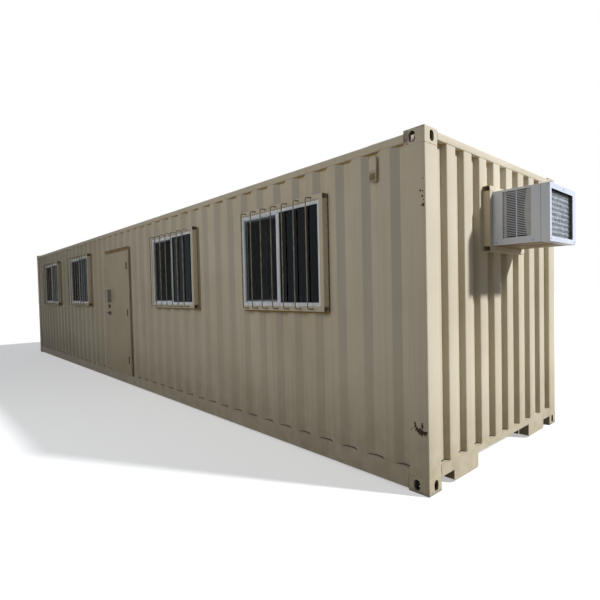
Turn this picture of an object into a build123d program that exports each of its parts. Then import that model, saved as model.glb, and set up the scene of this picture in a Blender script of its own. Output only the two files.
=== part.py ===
from build123d import *
import os

os.makedirs("parts", exist_ok=True)

# A 40 ft steel container made into a site cabin: a lined room with a door and four barred sliding
# windows in one long wall, and an air conditioner through one end wall.
# X runs along the cabin towards the air conditioner, the door wall faces -Y, Z is up from the ground.
# All sizes are in millimetres.

# Whole cabin
length = 12192
width = 2438
height = 2591

# Corner castings and their twistlock apertures
casting_x = 178
casting_y = 162
casting_z = 118
casting_wall = 25
casting_round = 5
slot_length = 124.5
slot_width = 63.5
slot_from_end = 103.5
slot_from_side = 89.5
side_hole_height = 79.5
side_hole_width = 51

# Corner posts
post_x = 170
post_y = 164
post_wall = 6

# Roof rails and floor rails
top_rail = 60
rail_wall = 3
side_rail_drop = 25
end_rail_drop = 15
floor_rail_bottom = 17
floor_rail_top = 165
floor_rail_flange = 45
floor_rail_wall = 4.5

# End sills with the shoes that stand beside the gooseneck tunnel
sill_top = 184
sill_bottom = 134
sill_wing_bottom = 100
sill_wing_width = 175
sill_depth = 100
sill_plate = 8
shoe_bottom = 14
shoe_round = 20
shoe_rib_inset = 24

# Gooseneck tunnel, floor joists and floor
tunnel_width = 1016
tunnel_height = 120
tunnel_length = 3150
tunnel_plate = 4
plate_joint = 0.5
joist_pitch = 305
joist_flange = 45
joist_wall = 4
floor_thickness = 28

# Ribbed wall sheets
sheet = 2
crest_inset = 2
side_pitch = 280.6
side_crest = 82
side_slope = 66
side_depth = 36
end_pitch = 248
end_crest = 122
end_slope = 18
end_depth = 45
least_valley = 60

# Stamped roof sheet and its flat header plates
roof_sheet = 2
roof_pitch = 209
roof_rib_foot = 110
roof_rib_height = 16
roof_rib_angle = 45
roof_edge = 10
roof_rib_inset = 20
header_plate = 4
header_length = 451

# Inside lining and ceiling
lining = 60
board_joint = 2

# Sliding windows, each in a welded surround of rectangular tube: one towards each end of the wall and
# one on each side of the door
window_from_plain_end = 1775
window_before_door = 2093
window_after_door = 2150
window_from_cooler_end = 1595
window_width = 1180
window_height = 910
window_sill = 1333
window_depth = 100
window_rail = 32
stile_width = 36
stile_setback = 8
stile_depth = 36
sash_rail = 26
sash_setback = 26
sash_depth = 18
glass = 5
fixed_glass_setback = 18
sash_glass_setback = 32
surround_face = 45
surround_depth = 64
surround_wall = 3
window_setback = 14
hole_gap = 1

# Door and its frame
door_x = 65
leaf_width = 914
leaf_height = 2021
leaf_thickness = 45
leaf_skin = 3
hinge_gap = 5
lock_gap = 7
top_gap = 5
sill_gap = 5
threshold = 3
frame_side = 80
head_height = 46
frame_proud = 22
frame_wall = 3
stop_width = 15
stop_gap = 5
drip_depth = 14
drip_rise = 11.5
drip_lip = 8
drip_sheet = 2

# Butt hinges: knuckles and pins stand outside the leaf
hinge_bottom_rise = 244
hinge_middle_rise = 1013
hinge_top_drop = 249
hinge_height = 116
hinge_plate_depth = 34
hinge_plate_gap = 0.6
knuckles = 5
knuckle_radius = 7
knuckle_gap = 1
pin_radius = 3
pin_clearance = 0.08

# Door furniture
backset = 62
lever_height = 1170
bolt_height = 1288
lock_bore = 27
lock_body = 26
rose_radius = 34
rose_thickness = 12
turn_reach = 24
lever_reach = 52
lever_radius = 9
lever_length = 118
bolt_cap_radius = 27
bolt_cap_thickness = 20
lock_box_width = 132
lock_box_height = 210
lock_box_depth = 55
lock_box_bottom = 1364
lock_box_edge = 8
lock_box_wall = 3

# Air conditioner and its surround
ac_width = 570
ac_height = 436
ac_reach = 497
ac_inside = 60
ac_y = -47
ac_bottom = 1804
ac_wall = 3
ac_gap = 4
ac_surround_depth = 60
ac_face_side = 31
ac_face_far_side = 68
ac_face_top = 42
ac_face_bottom = 36
ac_coil_setback = 24
ac_coil_depth = 25
ac_pan = 6
louvre_width = 106
louvre_bottom = 54
louvre_top = 18
louvre_post = 8
louvre_from_face = 138

# Wall ventilator
vent_from_end = 457
vent_width = 70
vent_height = 186
vent_drop = 32
vent_proud = 12

# Levels and faces that the pieces share
half_length = length / 2
half_width = width / 2
wall_face = half_width - crest_inset
wall_valley = wall_face - side_depth
lining_outside = wall_valley - sheet
lining_inside = lining_outside - lining
end_face = half_length - crest_inset
end_valley = end_face - end_depth
end_lining_outside = end_valley - sheet
side_clear = length - 2 * post_x
end_clear = width - 2 * post_y
casting_clear = length - 2 * casting_x
side_rail_top = height - side_rail_drop
side_rail_bottom = side_rail_top - top_rail
end_rail_top = height - end_rail_drop
end_rail_bottom = end_rail_top - top_rail
floor_rail_centre = (floor_rail_bottom + floor_rail_top) / 2
floor_top = floor_rail_top
floor_bottom = floor_top - floor_thickness
floor_clear = width - 2 * floor_rail_flange
shoe_width = (end_clear - tunnel_width) / 2 - sill_wing_width
roof_flat = length - 2 * top_rail - 2 * header_length
window_xs = (
    window_from_plain_end - half_length,
    door_x - window_before_door,
    door_x + window_after_door,
    half_length - window_from_cooler_end,
)
window_centre_z = window_sill + window_height / 2
window_front = wall_face + surround_depth - window_setback
leaf_left = door_x - leaf_width / 2
leaf_right = door_x + leaf_width / 2
leaf_bottom = floor_top + threshold + sill_gap
leaf_top = leaf_bottom + leaf_height
leaf_front = wall_face + frame_proud
leaf_back = leaf_front - leaf_thickness
frame_left = leaf_left - frame_side
frame_right = leaf_right + frame_side
frame_width = frame_right - frame_left
frame_top = leaf_top + top_gap + head_height
hinge_heights = (leaf_bottom + hinge_bottom_rise, leaf_bottom + hinge_middle_rise, leaf_top - hinge_top_drop)
hinge_plate = (hinge_gap - hinge_plate_gap) / 2
hinge_x = leaf_right + hinge_gap / 2
hinge_y = -leaf_front - knuckle_gap - knuckle_radius
louvre_height = ac_height - louvre_bottom - louvre_top
vent_x = half_length - vent_from_end
vent_bottom = side_rail_bottom - vent_drop - vent_height

# Where a box or a rectangle sits from the point it is placed at
BOTTOM = (Align.CENTER, Align.CENTER, Align.MIN)
FRONT = (Align.CENTER, Align.MIN, Align.MIN)
LOW = (Align.MIN, Align.MIN, Align.MIN)
FOOT = (Align.CENTER, Align.MIN)
HEAD = (Align.CENTER, Align.MAX)


def ribbed_face(clear, pitch, crest, slope, depth):
    """Outer face of a ribbed sheet: crests stand out by depth, and a valley lies beside each post."""
    count = int((clear - least_valley) // pitch)
    face = [(-clear / 2, 0)]
    for rib in range(count):
        middle = (rib - (count - 1) / 2) * pitch
        face.append((middle - crest / 2 - slope, 0))
        face.append((middle - crest / 2, depth))
        face.append((middle + crest / 2, depth))
        face.append((middle + crest / 2 + slope, 0))
    face.append((clear / 2, 0))
    return face


def ribbed_sheet(plane, face):
    """A sheet of even thickness that follows the ribbed face."""
    back = [(along, out - sheet) for along, out in reversed(face)]
    with BuildSketch(plane) as section:
        with BuildLine():
            Polyline(*face, *back, close=True)
        make_face()
    return section.sketch


side_face = ribbed_face(side_clear, side_pitch, side_crest, side_slope, side_depth)
end_face_ribs = ribbed_face(end_clear, end_pitch, end_crest, end_slope, end_depth)
front_plane = Plane(origin=(0, -wall_valley, side_rail_bottom), x_dir=(1, 0, 0), z_dir=(0, 0, -1))
back_plane = Plane(origin=(0, wall_valley, side_rail_bottom), x_dir=(-1, 0, 0), z_dir=(0, 0, -1))
cooler_end_plane = Plane(origin=(end_valley, 0, end_rail_bottom), x_dir=(0, 1, 0), z_dir=(0, 0, -1))
plain_end_plane = Plane(origin=(-end_valley, 0, end_rail_bottom), x_dir=(0, -1, 0), z_dir=(0, 0, -1))

side_skin_height = side_rail_bottom - floor_rail_top
end_skin_height = end_rail_bottom - sill_top

# --- Frame of the container ---

# Corner castings: hollow blocks with an aperture in each outer face
with BuildPart() as bottom_corner_castings:
    with GridLocations(length - casting_x, width - casting_y, 2, 2):
        Box(casting_x, casting_y, casting_z, align=BOTTOM)
    fillet(bottom_corner_castings.edges(), radius=casting_round)
    with GridLocations(length - casting_x, width - casting_y, 2, 2):
        with Locations((0, 0, casting_wall)):
            Box(
                casting_x - 2 * casting_wall,
                casting_y - 2 * casting_wall,
                casting_z - 2 * casting_wall,
                align=BOTTOM,
                mode=Mode.SUBTRACT,
            )
    with BuildSketch():
        with GridLocations(length - 2 * slot_from_end, width - 2 * slot_from_side, 2, 2):
            SlotOverall(slot_length, slot_width)
    extrude(amount=casting_wall, mode=Mode.SUBTRACT)
    for side in (1, -1):
        with BuildSketch(Plane.XZ.offset(side * half_width)):
            with Locations((0, casting_z / 2)):
                with GridLocations(length - 2 * slot_from_end, 1, 2, 1):
                    SlotOverall(side_hole_height, side_hole_width, rotation=90)
        extrude(amount=-side * casting_wall, mode=Mode.SUBTRACT)
        with BuildSketch(Plane.YZ.offset(side * half_length)):
            with Locations((0, casting_z / 2)):
                with GridLocations(width - 2 * slot_from_side, 1, 2, 1):
                    SlotOverall(side_hole_height, side_hole_width, rotation=90)
        extrude(amount=-side * casting_wall, mode=Mode.SUBTRACT)
bottom_corner_castings.part.label = "bottom_corner_castings"
export_step(bottom_corner_castings.part, "parts/bottom_corner_castings.step")

# The top castings are the bottom ones turned over
with BuildPart() as top_corner_castings:
    add(bottom_corner_castings.part.mirror(Plane.XY.offset(height / 2)))
top_corner_castings.part.label = "top_corner_castings"
export_step(top_corner_castings.part, "parts/top_corner_castings.step")

# The spaces that the castings take out of the rails, walls and linings round them
with BuildPart() as corner_spaces:
    with GridLocations(length - casting_x, width - casting_y, 2, 2):
        with Locations((0, 0, 0), (0, 0, height - casting_z)):
            Box(casting_x, casting_y, casting_z, align=BOTTOM)

with BuildPart() as corner_posts:
    with BuildSketch(Plane.XY.offset(casting_z)):
        with GridLocations(length - post_x, width - post_y, 2, 2):
            Rectangle(post_x, post_y)
            Rectangle(post_x - 2 * post_wall, post_y - 2 * post_wall, mode=Mode.SUBTRACT)
    extrude(amount=height - 2 * casting_z)
corner_posts.part.label = "corner_posts"
export_step(corner_posts.part, "parts/corner_posts.step")

with BuildPart() as top_side_rails:
    with BuildSketch(Plane.YZ.offset(-casting_clear / 2)):
        with Locations(
            (half_width - top_rail / 2, side_rail_top - top_rail / 2),
            (top_rail / 2 - half_width, side_rail_top - top_rail / 2),
        ):
            Rectangle(top_rail, top_rail)
            Rectangle(top_rail - 2 * rail_wall, top_rail - 2 * rail_wall, mode=Mode.SUBTRACT)
    extrude(amount=casting_clear)
top_side_rails.part.label = "top_side_rails"
export_step(top_side_rails.part, "parts/top_side_rails.step")

with BuildPart() as top_end_rails:
    with BuildSketch(Plane.XZ.offset(casting_y - half_width)):
        with Locations(
            (half_length - top_rail / 2, end_rail_top - top_rail / 2),
            (top_rail / 2 - half_length, end_rail_top - top_rail / 2),
        ):
            Rectangle(top_rail, top_rail)
            Rectangle(top_rail - 2 * rail_wall, top_rail - 2 * rail_wall, mode=Mode.SUBTRACT)
    extrude(amount=width - 2 * casting_y)
top_end_rails.part.label = "top_end_rails"
export_step(top_end_rails.part, "parts/top_end_rails.step")

# Floor rails: channels open inwards, let in round the castings at their ends
with BuildPart() as floor_side_rails:
    with BuildSketch(Plane.YZ.offset(-side_clear / 2)):
        for side in (1, -1):
            with Locations((side * (half_width - floor_rail_flange / 2), floor_rail_centre)):
                Rectangle(floor_rail_flange, floor_rail_top - floor_rail_bottom)
            with Locations((side * floor_clear / 2, floor_rail_centre)):
                Rectangle(
                    2 * (floor_rail_flange - floor_rail_wall),
                    floor_rail_top - floor_rail_bottom - 2 * floor_rail_wall,
                    mode=Mode.SUBTRACT,
                )
    extrude(amount=side_clear)
    add(corner_spaces.part, mode=Mode.SUBTRACT)
floor_side_rails.part.label = "floor_side_rails"
export_step(floor_side_rails.part, "parts/floor_side_rails.step")

# End sills: a folded plate over the tunnel, with a ribbed shoe hanging on each side of it
with BuildPart() as end_sills:
    with BuildSketch(Plane.YZ.offset(half_length)) as sill_outline:
        with Locations((0, sill_top)):
            Rectangle(end_clear, sill_top - sill_bottom, align=HEAD)
        for side in (1, -1):
            with Locations((side * (tunnel_width + shoe_width) / 2, sill_top)):
                Rectangle(shoe_width, sill_top - shoe_bottom, align=HEAD)
            with Locations((side * (end_clear - sill_wing_width) / 2, sill_top)):
                Rectangle(sill_wing_width, sill_top - sill_wing_bottom, align=HEAD)
        fillet(sill_outline.vertices().group_by(Axis.Y)[0], radius=shoe_round)
    extrude(amount=-sill_plate)
    with Locations((half_length - sill_depth / 2, 0, sill_top - sill_plate)):
        Box(sill_depth, end_clear, sill_plate, align=BOTTOM)
    with Locations((half_length - sill_depth + sill_plate / 2, 0, sill_bottom)):
        Box(sill_plate, end_clear, sill_top - sill_bottom, align=BOTTOM)
    for side in (1, -1):
        with Locations((half_length - sill_depth / 2, side * (tunnel_width + shoe_width) / 2, shoe_bottom)):
            with GridLocations(1, shoe_width - 2 * shoe_rib_inset, 1, 2):
                Box(sill_depth, sill_plate, sill_bottom - shoe_bottom, align=BOTTOM)
    mirror(about=Plane.YZ)
end_sills.part.label = "end_sills"
export_step(end_sills.part, "parts/end_sills.step")

# Roof header plates: flat plates beside the corners, where lifting gear lands
with BuildPart() as roof_header_plates:
    with BuildSketch(Plane.XY.offset(side_rail_top)):
        Rectangle(length - 2 * top_rail, width - 2 * roof_edge)
        Rectangle(roof_flat, width, mode=Mode.SUBTRACT)
        with GridLocations(length - casting_x, width - casting_y, 2, 2):
            Rectangle(casting_x, casting_y, mode=Mode.SUBTRACT)
    extrude(amount=header_plate)
roof_header_plates.part.label = "roof_header_plates"
export_step(roof_header_plates.part, "parts/roof_header_plates.step")

# Roof sheet: one skin stamped with shallow ribs that run from side to side
rib_count = int(roof_flat // roof_pitch)
rib_length = width - 2 * roof_rib_inset
with BuildPart() as roof_sheet_part:
    with Locations((0, 0, side_rail_top)):
        Box(roof_flat, width - 2 * roof_edge, roof_sheet, align=BOTTOM)
    with BuildSketch(Plane.XY.offset(side_rail_top + roof_sheet)):
        with GridLocations(roof_pitch, 1, rib_count, 1):
            Rectangle(roof_rib_foot, rib_length)
    extrude(amount=roof_rib_height, taper=roof_rib_angle)
    with BuildSketch(Plane.XY.offset(side_rail_top)):
        with GridLocations(roof_pitch, 1, rib_count, 1):
            Rectangle(roof_rib_foot, rib_length)
    extrude(amount=roof_rib_height, taper=roof_rib_angle, mode=Mode.SUBTRACT)
roof_sheet_part.part.label = "roof_sheet"
export_step(roof_sheet_part.part, "parts/roof_sheet.step")

# --- Floor ---

# Joists: channels across the floor, in two short lengths where the tunnel runs between them
joist_count = int(casting_clear // joist_pitch)
joist_height = floor_bottom - floor_rail_bottom
joist_xs = [(number - (joist_count - 1) / 2) * joist_pitch for number in range(joist_count)]
tunnel_joist_xs = [x for x in joist_xs if abs(x) + joist_flange / 2 > half_length - tunnel_length]
tunnel_outside = tunnel_width + 2 * tunnel_plate
with BuildPart() as floor_joists:
    with BuildSketch(Plane.XZ.offset(floor_clear / 2)):
        with Locations((0, (floor_bottom + floor_rail_bottom) / 2)):
            with GridLocations(joist_pitch, 1, joist_count, 1):
                Rectangle(joist_flange, joist_height)
                with Locations((joist_wall / 2, 0)):
                    Rectangle(joist_flange - joist_wall, joist_height - 2 * joist_wall, mode=Mode.SUBTRACT)
    extrude(amount=-floor_clear)
    with GridLocations(length - tunnel_length, 1, 2, 1):
        Box(tunnel_length, tunnel_outside, floor_bottom, align=BOTTOM, mode=Mode.SUBTRACT)
    with Locations(*[(x, 0, 0) for x in tunnel_joist_xs]):
        Box(joist_flange, tunnel_outside, floor_bottom, align=BOTTOM, mode=Mode.SUBTRACT)
floor_joists.part.label = "floor_joists"
export_step(floor_joists.part, "parts/floor_joists.step")

# Tunnel plates: two plates on edge and one laid over them, that a lorry's gooseneck fits under, with a
# flat bar on top in line with each joist
tunnel_top = tunnel_height + tunnel_plate
tunnel_plate_length = tunnel_length - sill_depth
tunnel_plate_x = half_length - sill_depth - tunnel_plate_length / 2
tunnel_side_height = tunnel_height - plate_joint - floor_rail_bottom
with BuildPart() as tunnel_plates:
    with Locations((0, 0, floor_rail_bottom)):
        with GridLocations(2 * tunnel_plate_x, tunnel_width + tunnel_plate, 2, 2):
            Box(tunnel_plate_length, tunnel_plate, tunnel_side_height, align=BOTTOM)
    with Locations((0, 0, tunnel_height)):
        with GridLocations(2 * tunnel_plate_x, 1, 2, 1):
            Box(tunnel_plate_length, tunnel_outside, tunnel_plate, align=BOTTOM)
    with Locations(*[(x, 0, tunnel_top) for x in tunnel_joist_xs]):
        Box(joist_flange, tunnel_outside, floor_bottom - tunnel_top, align=BOTTOM)
tunnel_plates.part.label = "tunnel_plates"
export_step(tunnel_plates.part, "parts/tunnel_plates.step")

with BuildPart() as floor_boards:
    with BuildSketch(Plane.XY.offset(floor_bottom)):
        Rectangle(length - 2 * sill_depth, floor_clear)
        with GridLocations(length - post_x, width - post_y, 2, 2):
            Rectangle(post_x, post_y, mode=Mode.SUBTRACT)
    extrude(amount=floor_thickness)
floor_boards.part.label = "floor_boards"
export_step(floor_boards.part, "parts/floor_boards.step")

# --- Walls ---

hole_width = window_width + 2 * hole_gap
hole_height = window_height + 2 * hole_gap
hole_bottom = window_sill - hole_gap
hole_top = hole_bottom + hole_height
ac_hole_width = ac_width + 2 * ac_gap + 2 * hole_gap
ac_hole_bottom = ac_bottom - hole_gap
ac_hole_top = ac_bottom + ac_height + ac_gap + hole_gap
ac_hole_left = ac_y - ac_hole_width / 2
ac_hole_right = ac_y + ac_hole_width / 2

# Door wall: a ribbed sheet on each side of the doorway and a short one over it
door_wall_parts = {
    "door_wall_left": (-side_clear / 2, frame_left, floor_rail_top),
    "door_wall_right": (frame_right, side_clear / 2, floor_rail_top),
    "door_wall_over_door": (frame_left, frame_right, frame_top),
}
for name, (left, right, bottom) in door_wall_parts.items():
    with BuildPart() as door_wall:
        extrude(ribbed_sheet(front_plane, side_face), amount=side_skin_height)
        with Locations((left, -half_width, bottom)):
            Box(right - left, half_width, side_rail_bottom - bottom, align=LOW, mode=Mode.INTERSECT)
        with Locations(*[(x, -half_width, hole_bottom) for x in window_xs]):
            Box(hole_width, half_width, hole_height, align=FRONT, mode=Mode.SUBTRACT)
        add(corner_spaces.part, mode=Mode.SUBTRACT)
    door_wall.part.label = name
    export_step(door_wall.part, f"parts/{name}.step")

with BuildPart() as back_wall:
    extrude(ribbed_sheet(back_plane, side_face), amount=side_skin_height)
    add(corner_spaces.part, mode=Mode.SUBTRACT)
back_wall.part.label = "back_wall"
export_step(back_wall.part, "parts/back_wall.step")

with BuildPart() as plain_end_wall:
    extrude(ribbed_sheet(plain_end_plane, end_face_ribs), amount=end_skin_height)
plain_end_wall.part.label = "plain_end_wall"
export_step(plain_end_wall.part, "parts/plain_end_wall.step")

with BuildPart() as cooler_end_wall:
    extrude(ribbed_sheet(cooler_end_plane, end_face_ribs), amount=end_skin_height)
    with Locations((half_length - sill_depth, ac_y, ac_hole_bottom)):
        Box(
            sill_depth,
            ac_hole_width,
            ac_hole_top - ac_hole_bottom,
            align=(Align.MIN, Align.CENTER, Align.MIN),
            mode=Mode.SUBTRACT,
        )
cooler_end_wall.part.label = "cooler_end_wall"
export_step(cooler_end_wall.part, "parts/cooler_end_wall.step")


def boards_round(left, right, bottom, top, holes):
    """Lining boards as (from, to, bottom, top): full ones between the holes, short ones below and above."""
    boards = []
    start = left
    for hole_from, hole_to, low, high in holes:
        if left < hole_from and hole_to < right:
            boards.append((start, hole_from, bottom, top))
            boards.append((hole_from + board_joint, hole_to - board_joint, bottom, low))
            boards.append((hole_from + board_joint, hole_to - board_joint, high, top))
            start = hole_to
    boards.append((start, right, bottom, top))
    return boards


# Linings: insulated boards set against the backs of the valleys
window_holes = [(x - hole_width / 2, x + hole_width / 2, hole_bottom, hole_top) for x in window_xs]
door_wall_boards = boards_round(-side_clear / 2, frame_left, floor_top, side_rail_bottom, window_holes)
door_wall_boards += boards_round(frame_right, side_clear / 2, floor_top, side_rail_bottom, window_holes)
door_wall_boards.append((frame_left + board_joint, frame_right - board_joint, frame_top, side_rail_bottom))
side_linings = {
    "door_wall_lining": (door_wall_boards, -1),
    "back_wall_lining": ([(-side_clear / 2, side_clear / 2, floor_top, side_rail_bottom)], 1),
}
for name, (boards, side) in side_linings.items():
    with BuildPart() as side_lining:
        for start, end, low, high in boards:
            with Locations(((start + end) / 2, side * (lining_outside + lining_inside) / 2, low)):
                Box(end - start, lining, high - low, align=BOTTOM)
        add(corner_spaces.part, mode=Mode.SUBTRACT)
    side_lining.part.label = name
    export_step(side_lining.part, f"parts/{name}.step")

ac_holes = [(ac_hole_left, ac_hole_right, ac_hole_bottom, ac_hole_top)]
with BuildPart() as end_linings:
    for side, holes in ((1, ac_holes), (-1, [])):
        boards = boards_round(-end_clear / 2, end_clear / 2, sill_top, side_rail_bottom, holes)
        for start, end, low, high in boards:
            with Locations((side * (end_lining_outside - lining / 2), (start + end) / 2, low)):
                Box(lining, end - start, high - low, align=BOTTOM)
end_linings.part.label = "end_linings"
export_step(end_linings.part, "parts/end_linings.step")

# Ceiling: insulated boards between the top rails, under the roof sheet, with a short one between the
# castings at each end
ceiling_end_length = casting_x - top_rail - board_joint
with BuildPart() as ceiling:
    with Locations((0, 0, side_rail_bottom)):
        Box(casting_clear, width - 2 * top_rail, top_rail, align=BOTTOM)
        with GridLocations(length - 2 * top_rail - ceiling_end_length, 1, 2, 1):
            Box(ceiling_end_length, width - 2 * casting_y, top_rail, align=BOTTOM)
ceiling.part.label = "ceiling"
export_step(ceiling.part, "parts/ceiling.step")

# --- Windows ---

surround_width = window_width + 2 * surround_face
surround_y = -wall_face - surround_depth / 2
surround_bore = surround_face - 2 * surround_wall
sash_width = (window_width - stile_width) / 2 - window_rail
sash_height = window_height - 2 * window_rail

for number, x in enumerate(window_xs, start=1):
    # Surround: two tubes across, their ends left open, with a jamb welded between them at each side
    with BuildPart() as surround:
        with BuildSketch(Plane.YZ.offset(x - surround_width / 2)):
            with Locations((surround_y, window_centre_z)):
                with GridLocations(1, window_height + surround_face, 1, 2):
                    Rectangle(surround_depth, surround_face)
                    Rectangle(surround_depth - 2 * surround_wall, surround_bore, mode=Mode.SUBTRACT)
        extrude(amount=surround_width)
        with BuildSketch(Plane.XY.offset(window_sill)):
            with Locations((x, surround_y)):
                with GridLocations(window_width + surround_face, 1, 2, 1):
                    Rectangle(surround_face, surround_depth)
                    Rectangle(surround_bore, surround_depth - 2 * surround_wall, mode=Mode.SUBTRACT)
        extrude(amount=window_height)
    surround.part.label = f"window_surround_{number}"
    export_step(surround.part, f"parts/window_surround_{number}.step")

    # Frame: an outer frame, a meeting stile and the sliding sash on the left, drawn shut
    with BuildPart() as window_frame:
        with BuildSketch(Plane.XZ.offset(window_front)):
            with Locations((x, window_centre_z)):
                Rectangle(window_width, window_height)
                Rectangle(window_width - 2 * window_rail, sash_height, mode=Mode.SUBTRACT)
        extrude(amount=-window_depth)
        with BuildSketch(Plane.XZ.offset(window_front - stile_setback)):
            with Locations((x, window_centre_z)):
                Rectangle(stile_width, sash_height)
        extrude(amount=-stile_depth)
        with BuildSketch(Plane.XZ.offset(window_front - sash_setback)):
            with Locations((x - (stile_width + sash_width) / 2, window_centre_z)):
                Rectangle(sash_width, sash_height)
                Rectangle(sash_width - 2 * sash_rail, sash_height - 2 * sash_rail, mode=Mode.SUBTRACT)
        extrude(amount=-sash_depth)
    window_frame.part.label = f"window_frame_{number}"
    export_step(window_frame.part, f"parts/window_frame_{number}.step")

# Glass: in each window a fixed pane on the right and the sash's pane on the left
with BuildPart() as window_glass:
    with BuildSketch(Plane.XZ.offset(window_front - fixed_glass_setback)):
        with Locations(*[(x + (stile_width + sash_width) / 2, window_centre_z) for x in window_xs]):
            Rectangle(sash_width, sash_height)
    extrude(amount=-glass)
    with BuildSketch(Plane.XZ.offset(window_front - sash_glass_setback)):
        with Locations(*[(x - (stile_width + sash_width) / 2, window_centre_z) for x in window_xs]):
            Rectangle(sash_width - 2 * sash_rail, sash_height - 2 * sash_rail)
    extrude(amount=-glass)
window_glass.part.label = "window_glass"
export_step(window_glass.part, "parts/window_glass.step")

# --- Doorway ---

opening_width = leaf_width + hinge_gap + lock_gap
opening_x = (leaf_right + hinge_gap + leaf_left - lock_gap) / 2
opening_height = leaf_top + top_gap - floor_top
frame_height = frame_top - floor_top
frame_depth = leaf_front - lining_inside
stop_depth = leaf_back - stop_gap - lining_inside

# Frame: a folded steel casing round three sides, with a stop behind the leaf
with BuildPart() as door_frame:
    with BuildSketch(Plane.XZ.offset(leaf_front)):
        with Locations((door_x, floor_top)):
            Rectangle(frame_width, frame_height, align=FOOT)
        with Locations((opening_x, floor_top)):
            Rectangle(opening_width, opening_height, align=FOOT, mode=Mode.SUBTRACT)
    extrude(amount=-frame_depth)
    with BuildSketch(Plane.XZ.offset(lining_inside + stop_depth)):
        with Locations((opening_x, floor_top)):
            Rectangle(opening_width, opening_height, align=FOOT)
            Rectangle(
                opening_width - 2 * stop_width,
                opening_height - stop_width,
                align=FOOT,
                mode=Mode.SUBTRACT,
            )
    extrude(amount=-stop_depth)
    with BuildSketch(Plane.XZ.offset(leaf_front - frame_wall)):
        with Locations((door_x, floor_top)):
            Rectangle(frame_width - 2 * frame_wall, frame_height - frame_wall, align=FOOT)
        with Locations((opening_x, floor_top)):
            Rectangle(
                opening_width + 2 * frame_wall,
                opening_height + frame_wall,
                align=FOOT,
                mode=Mode.SUBTRACT,
            )
    extrude(amount=2 * frame_wall - frame_depth, mode=Mode.SUBTRACT)
door_frame.part.label = "door_frame"
export_step(door_frame.part, "parts/door_frame.step")

# Drip cap: a bent strip on the face of the frame's head that throws rain clear of the leaf
with BuildPart() as door_drip_cap:
    with BuildSketch(Plane.YZ.offset(frame_left)):
        with BuildLine():
            Polyline(
                (-leaf_front, leaf_top + top_gap + drip_sheet),
                (-leaf_front - drip_depth, frame_top - drip_rise),
                (-leaf_front, frame_top),
                (-leaf_front, frame_top - drip_sheet),
                (-leaf_front - drip_depth + drip_sheet, frame_top - drip_rise),
                (-leaf_front, leaf_top + top_gap + drip_lip),
                close=True,
            )
        make_face()
    extrude(amount=frame_width)
door_drip_cap.part.label = "door_drip_cap"
export_step(door_drip_cap.part, "parts/door_drip_cap.step")

with BuildPart() as door_threshold:
    with Locations((opening_x, -wall_face, floor_top)):
        Box(opening_width - 2 * stop_width, wall_face - lining_inside, threshold, align=FRONT)
door_threshold.part.label = "door_threshold"
export_step(door_threshold.part, "parts/door_threshold.step")

# --- Door ---

lock_x = leaf_left + backset

# Leaf: two steel faces on a folded edge, bored through for the latch and the deadbolt
with BuildPart() as door_leaf:
    with Locations((door_x, -leaf_front, leaf_bottom)):
        Box(leaf_width, leaf_thickness, leaf_height, align=FRONT)
    with Locations((door_x, leaf_skin - leaf_front, leaf_bottom + leaf_skin)):
        Box(
            leaf_width - 2 * leaf_skin,
            leaf_thickness - 2 * leaf_skin,
            leaf_height - 2 * leaf_skin,
            align=FRONT,
            mode=Mode.SUBTRACT,
        )
    with BuildSketch(Plane.XZ.offset(leaf_front)):
        with Locations((lock_x, lever_height), (lock_x, bolt_height)):
            Circle(lock_bore)
    extrude(amount=-leaf_thickness, mode=Mode.SUBTRACT)
door_leaf.part.label = "door_leaf"
export_step(door_leaf.part, "parts/door_leaf.step")

# Lever set: a rose and a lever on each face, joined by the latch body in its bore
lever_y = leaf_front + lever_reach
with BuildPart() as door_lever:
    with BuildSketch(Plane.XZ.offset(leaf_back)):
        with Locations((lock_x, lever_height)):
            Circle(lock_body)
    extrude(amount=leaf_thickness)
    for face, out in ((leaf_front, 1), (leaf_back, -1)):
        with BuildSketch(Plane.XZ.offset(face)):
            with Locations((lock_x, lever_height)):
                Circle(rose_radius)
        extrude(amount=out * rose_thickness)
        with BuildSketch(Plane.XZ.offset(face)):
            with Locations((lock_x, lever_height)):
                Circle(lever_radius)
        extrude(amount=out * (lever_reach + lever_radius))
        with BuildSketch(Plane.YZ.offset(lock_x)):
            with Locations((-face - out * lever_reach, lever_height)):
                Circle(lever_radius)
        extrude(amount=lever_length)
door_lever.part.label = "door_lever"
export_step(door_lever.part, "parts/door_lever.step")

# Deadbolt: a round key cylinder outside and a turn inside
with BuildPart() as door_deadbolt:
    with BuildSketch(Plane.XZ.offset(leaf_back)):
        with Locations((lock_x, bolt_height)):
            Circle(lock_body)
    extrude(amount=leaf_thickness)
    with BuildSketch(Plane.XZ.offset(leaf_front)):
        with Locations((lock_x, bolt_height)):
            Circle(rose_radius)
    extrude(amount=bolt_cap_thickness / 2)
    with BuildSketch(Plane.XZ.offset(leaf_front)):
        with Locations((lock_x, bolt_height)):
            Circle(bolt_cap_radius)
    extrude(amount=bolt_cap_thickness)
    with BuildSketch(Plane.XZ.offset(leaf_back)):
        with Locations((lock_x, bolt_height)):
            Circle(rose_radius)
    extrude(amount=-rose_thickness)
    with BuildSketch(Plane.XZ.offset(leaf_back)):
        with Locations((lock_x, bolt_height)):
            SlotOverall(2 * lock_body, rose_thickness, rotation=90)
    extrude(amount=-turn_reach)
door_deadbolt.part.label = "door_deadbolt"
export_step(door_deadbolt.part, "parts/door_deadbolt.step")

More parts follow.
